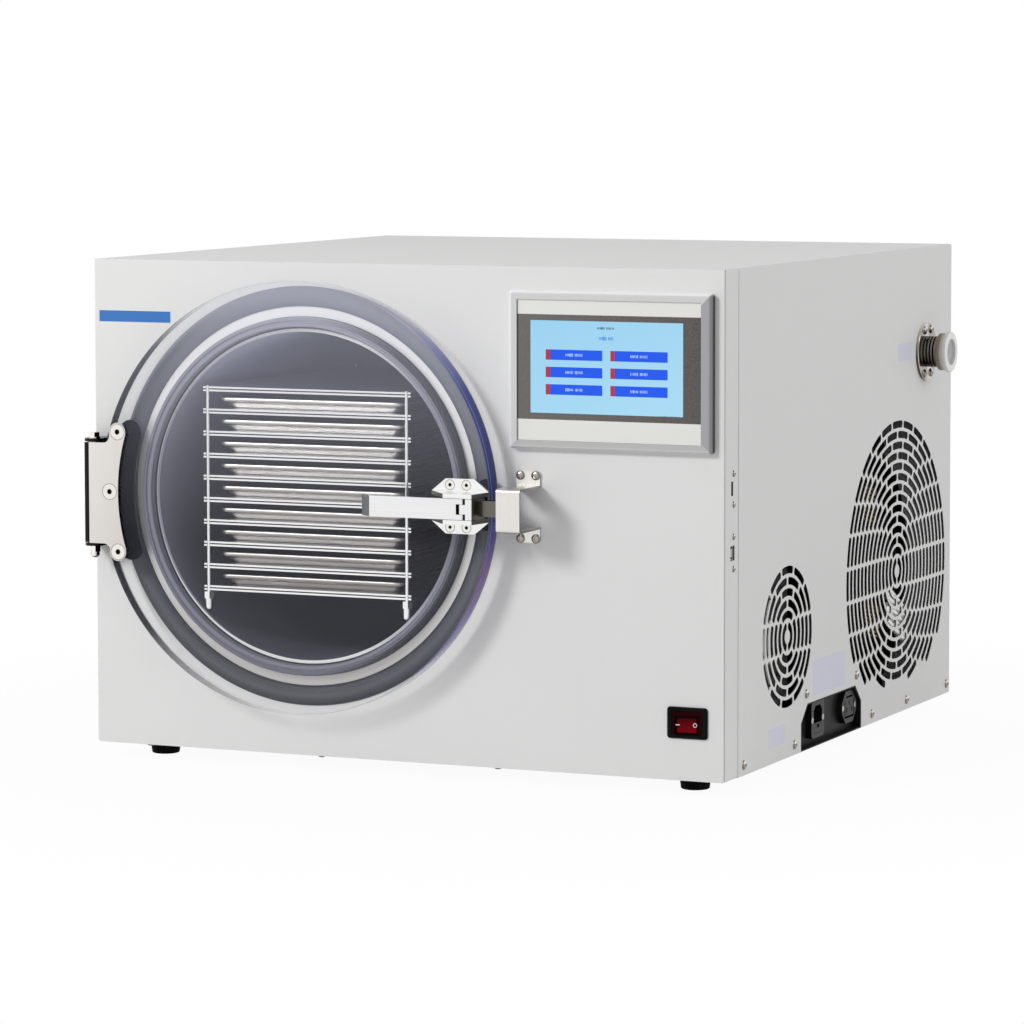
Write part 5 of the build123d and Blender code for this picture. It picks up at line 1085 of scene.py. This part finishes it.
# %% Rocker marks
mark_white = printed("mark_white", (0.72, 0.66, 0.64))
housing_low, housing_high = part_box("switch_housing")
pivot = Vector(((housing_low.x + housing_high.x) / 2, front + 3.0 * mm, rocker_middle.z - 1.5 * mm))
rest_tilt = math.radians(7.0)


def on_rocker(along, side):
    """Point on a rocker face and the direction along that face, after the rocker's rest tilt."""
    turn = Matrix.Rotation(rest_tilt, 3, "Z")
    flat = Vector((along * mm, (-5.2 - abs(along) * math.tan(rest_tilt)) * mm, 0))
    direction = Vector((math.cos(rest_tilt), side * math.sin(rest_tilt), 0))
    return pivot + turn @ flat, turn @ direction


on_mark = plate(*on_rocker(-9.2, 1), (4.0 * mm, 1.0 * mm), 0.3 * mm, 0.06 * mm)
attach(keep_form("mark_on", on_mark, mark_white), "rocker")
off_mark = ring(*on_rocker(7.4, -1), 2.1 * mm, 1.4 * mm, 0.06 * mm)
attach(keep_form("mark_off", off_mark, mark_white), "rocker")

# %% [markdown]
# ## Studio
# The floor and the world are plain white where the camera, a mirror or glass sees them, and dimmer
# where they light the object, so the white paint keeps its tone. One soft lamp on the left of the
# camera gives the front its lead over the side and throws the door's and the latch's shadows down to
# the right, and a broad one fills the side.

# %% Two ways of seeing
def seen_rays(tree):
    """1 where the camera, a mirror or glass looks, 0 where light only falls."""
    rays = tree.nodes.new("ShaderNodeLightPath").outputs
    seen = rays["Is Camera Ray"]
    for ray in ("Is Glossy Ray", "Is Transmission Ray"):
        either = tree.nodes.new("ShaderNodeMath")
        either.operation = "MAXIMUM"
        tree.links.new(seen, either.inputs[0])
        tree.links.new(rays[ray], either.inputs[1])
        seen = either.outputs[0]
    return seen


def blend(tree, share, lighting, seen, output):
    """Go from the shader that lights the object to the one that is seen."""
    mixer = tree.nodes.new("ShaderNodeMixShader")
    for source, socket in zip((share, lighting, seen), mixer.inputs):
        tree.links.new(source, socket)
    tree.links.new(mixer.outputs[0], tree.nodes[output].inputs["Surface"])


# %% Floor
ground = Finish("floor", (0.80, 0.80, 0.80), 0.9)
across, deep, _ = ground.axes()
whiteness = reach(across, deep).ramp(0.45, 1.0) * 0.05 + 0.95
share = whiteness * Number(ground, seen_rays(ground.tree))
white = ground.add("ShaderNodeEmission", {}, {"Color": (1.0, 1.0, 1.0), "Strength": 1.0})
blend(ground.tree, share.socket, ground.shader.outputs[0], white.socket, "Material Output")

form = bmesh.new()
half_floor = 60.0
corners = [(x * half_floor, y * half_floor, 0.0) for x, y in ((-1, -1), (1, -1), (1, 1), (-1, 1))]
form.faces.new([form.verts.new(corner) for corner in corners])
keep_form("floor", form, ground)

# %% World
world = bpy.data.worlds.new("studio")
bpy.context.scene.world = world
world.use_nodes = True
sky = world.node_tree
ambient, plain = sky.nodes["Background"], sky.nodes.new("ShaderNodeBackground")
for background, strength in ((ambient, 0.45), (plain, 1.0)):
    background.inputs["Color"].default_value = (1, 1, 1, 1)
    background.inputs["Strength"].default_value = strength
blend(sky, seen_rays(sky), ambient.outputs[0], plain.outputs[0], "World Output")


# %% Lamps
def soft_lamp(name, place, size, power):
    lamp = bpy.data.lights.new(name, "AREA")
    lamp.shape = "SQUARE"
    lamp.size = size
    lamp.energy = power
    made = put_in_scene(name, lamp)
    made.location = place
    made.rotation_euler = (object_middle - Vector(place)).to_track_quat("-Z", "Y").to_euler()


object_middle = Vector((0, 0, 0.25))
soft_lamp("key_lamp", (-1.9, -3.0, 2.1), 0.9, 66.0)
soft_lamp("side_lamp", (4.0, 0.6, 1.9), 2.0, 35.0)

# %% [markdown]
# ## Camera
# A long lens from the right-hand front, a little above the machine's top, with level verticals kept
# upright by shifting the lens instead of tilting it further.

# %% Camera
lens = bpy.data.cameras.new("camera")
lens.lens = 155.34
lens.sensor_width = 36.0
lens.shift_x = -0.00796
lens.shift_y = -0.10925
lens.clip_end = 200.0
camera = put_in_scene("camera", lens)
camera.location = (1.77535, -4.0802, 0.6714)
heading, dip, roll = (math.radians(angle) for angle in (23.769, 90 - 4.251, -0.08))
aim = Matrix.Rotation(heading, 4, "Z") @ Matrix.Rotation(dip, 4, "X") @ Matrix.Rotation(roll, 4, "Z")
camera.rotation_euler = aim.to_euler()
bpy.context.scene.camera = camera
bpy.context.scene.view_settings.view_transform = "Standard"

# %% Update the scene
bpy.context.view_layer.update()
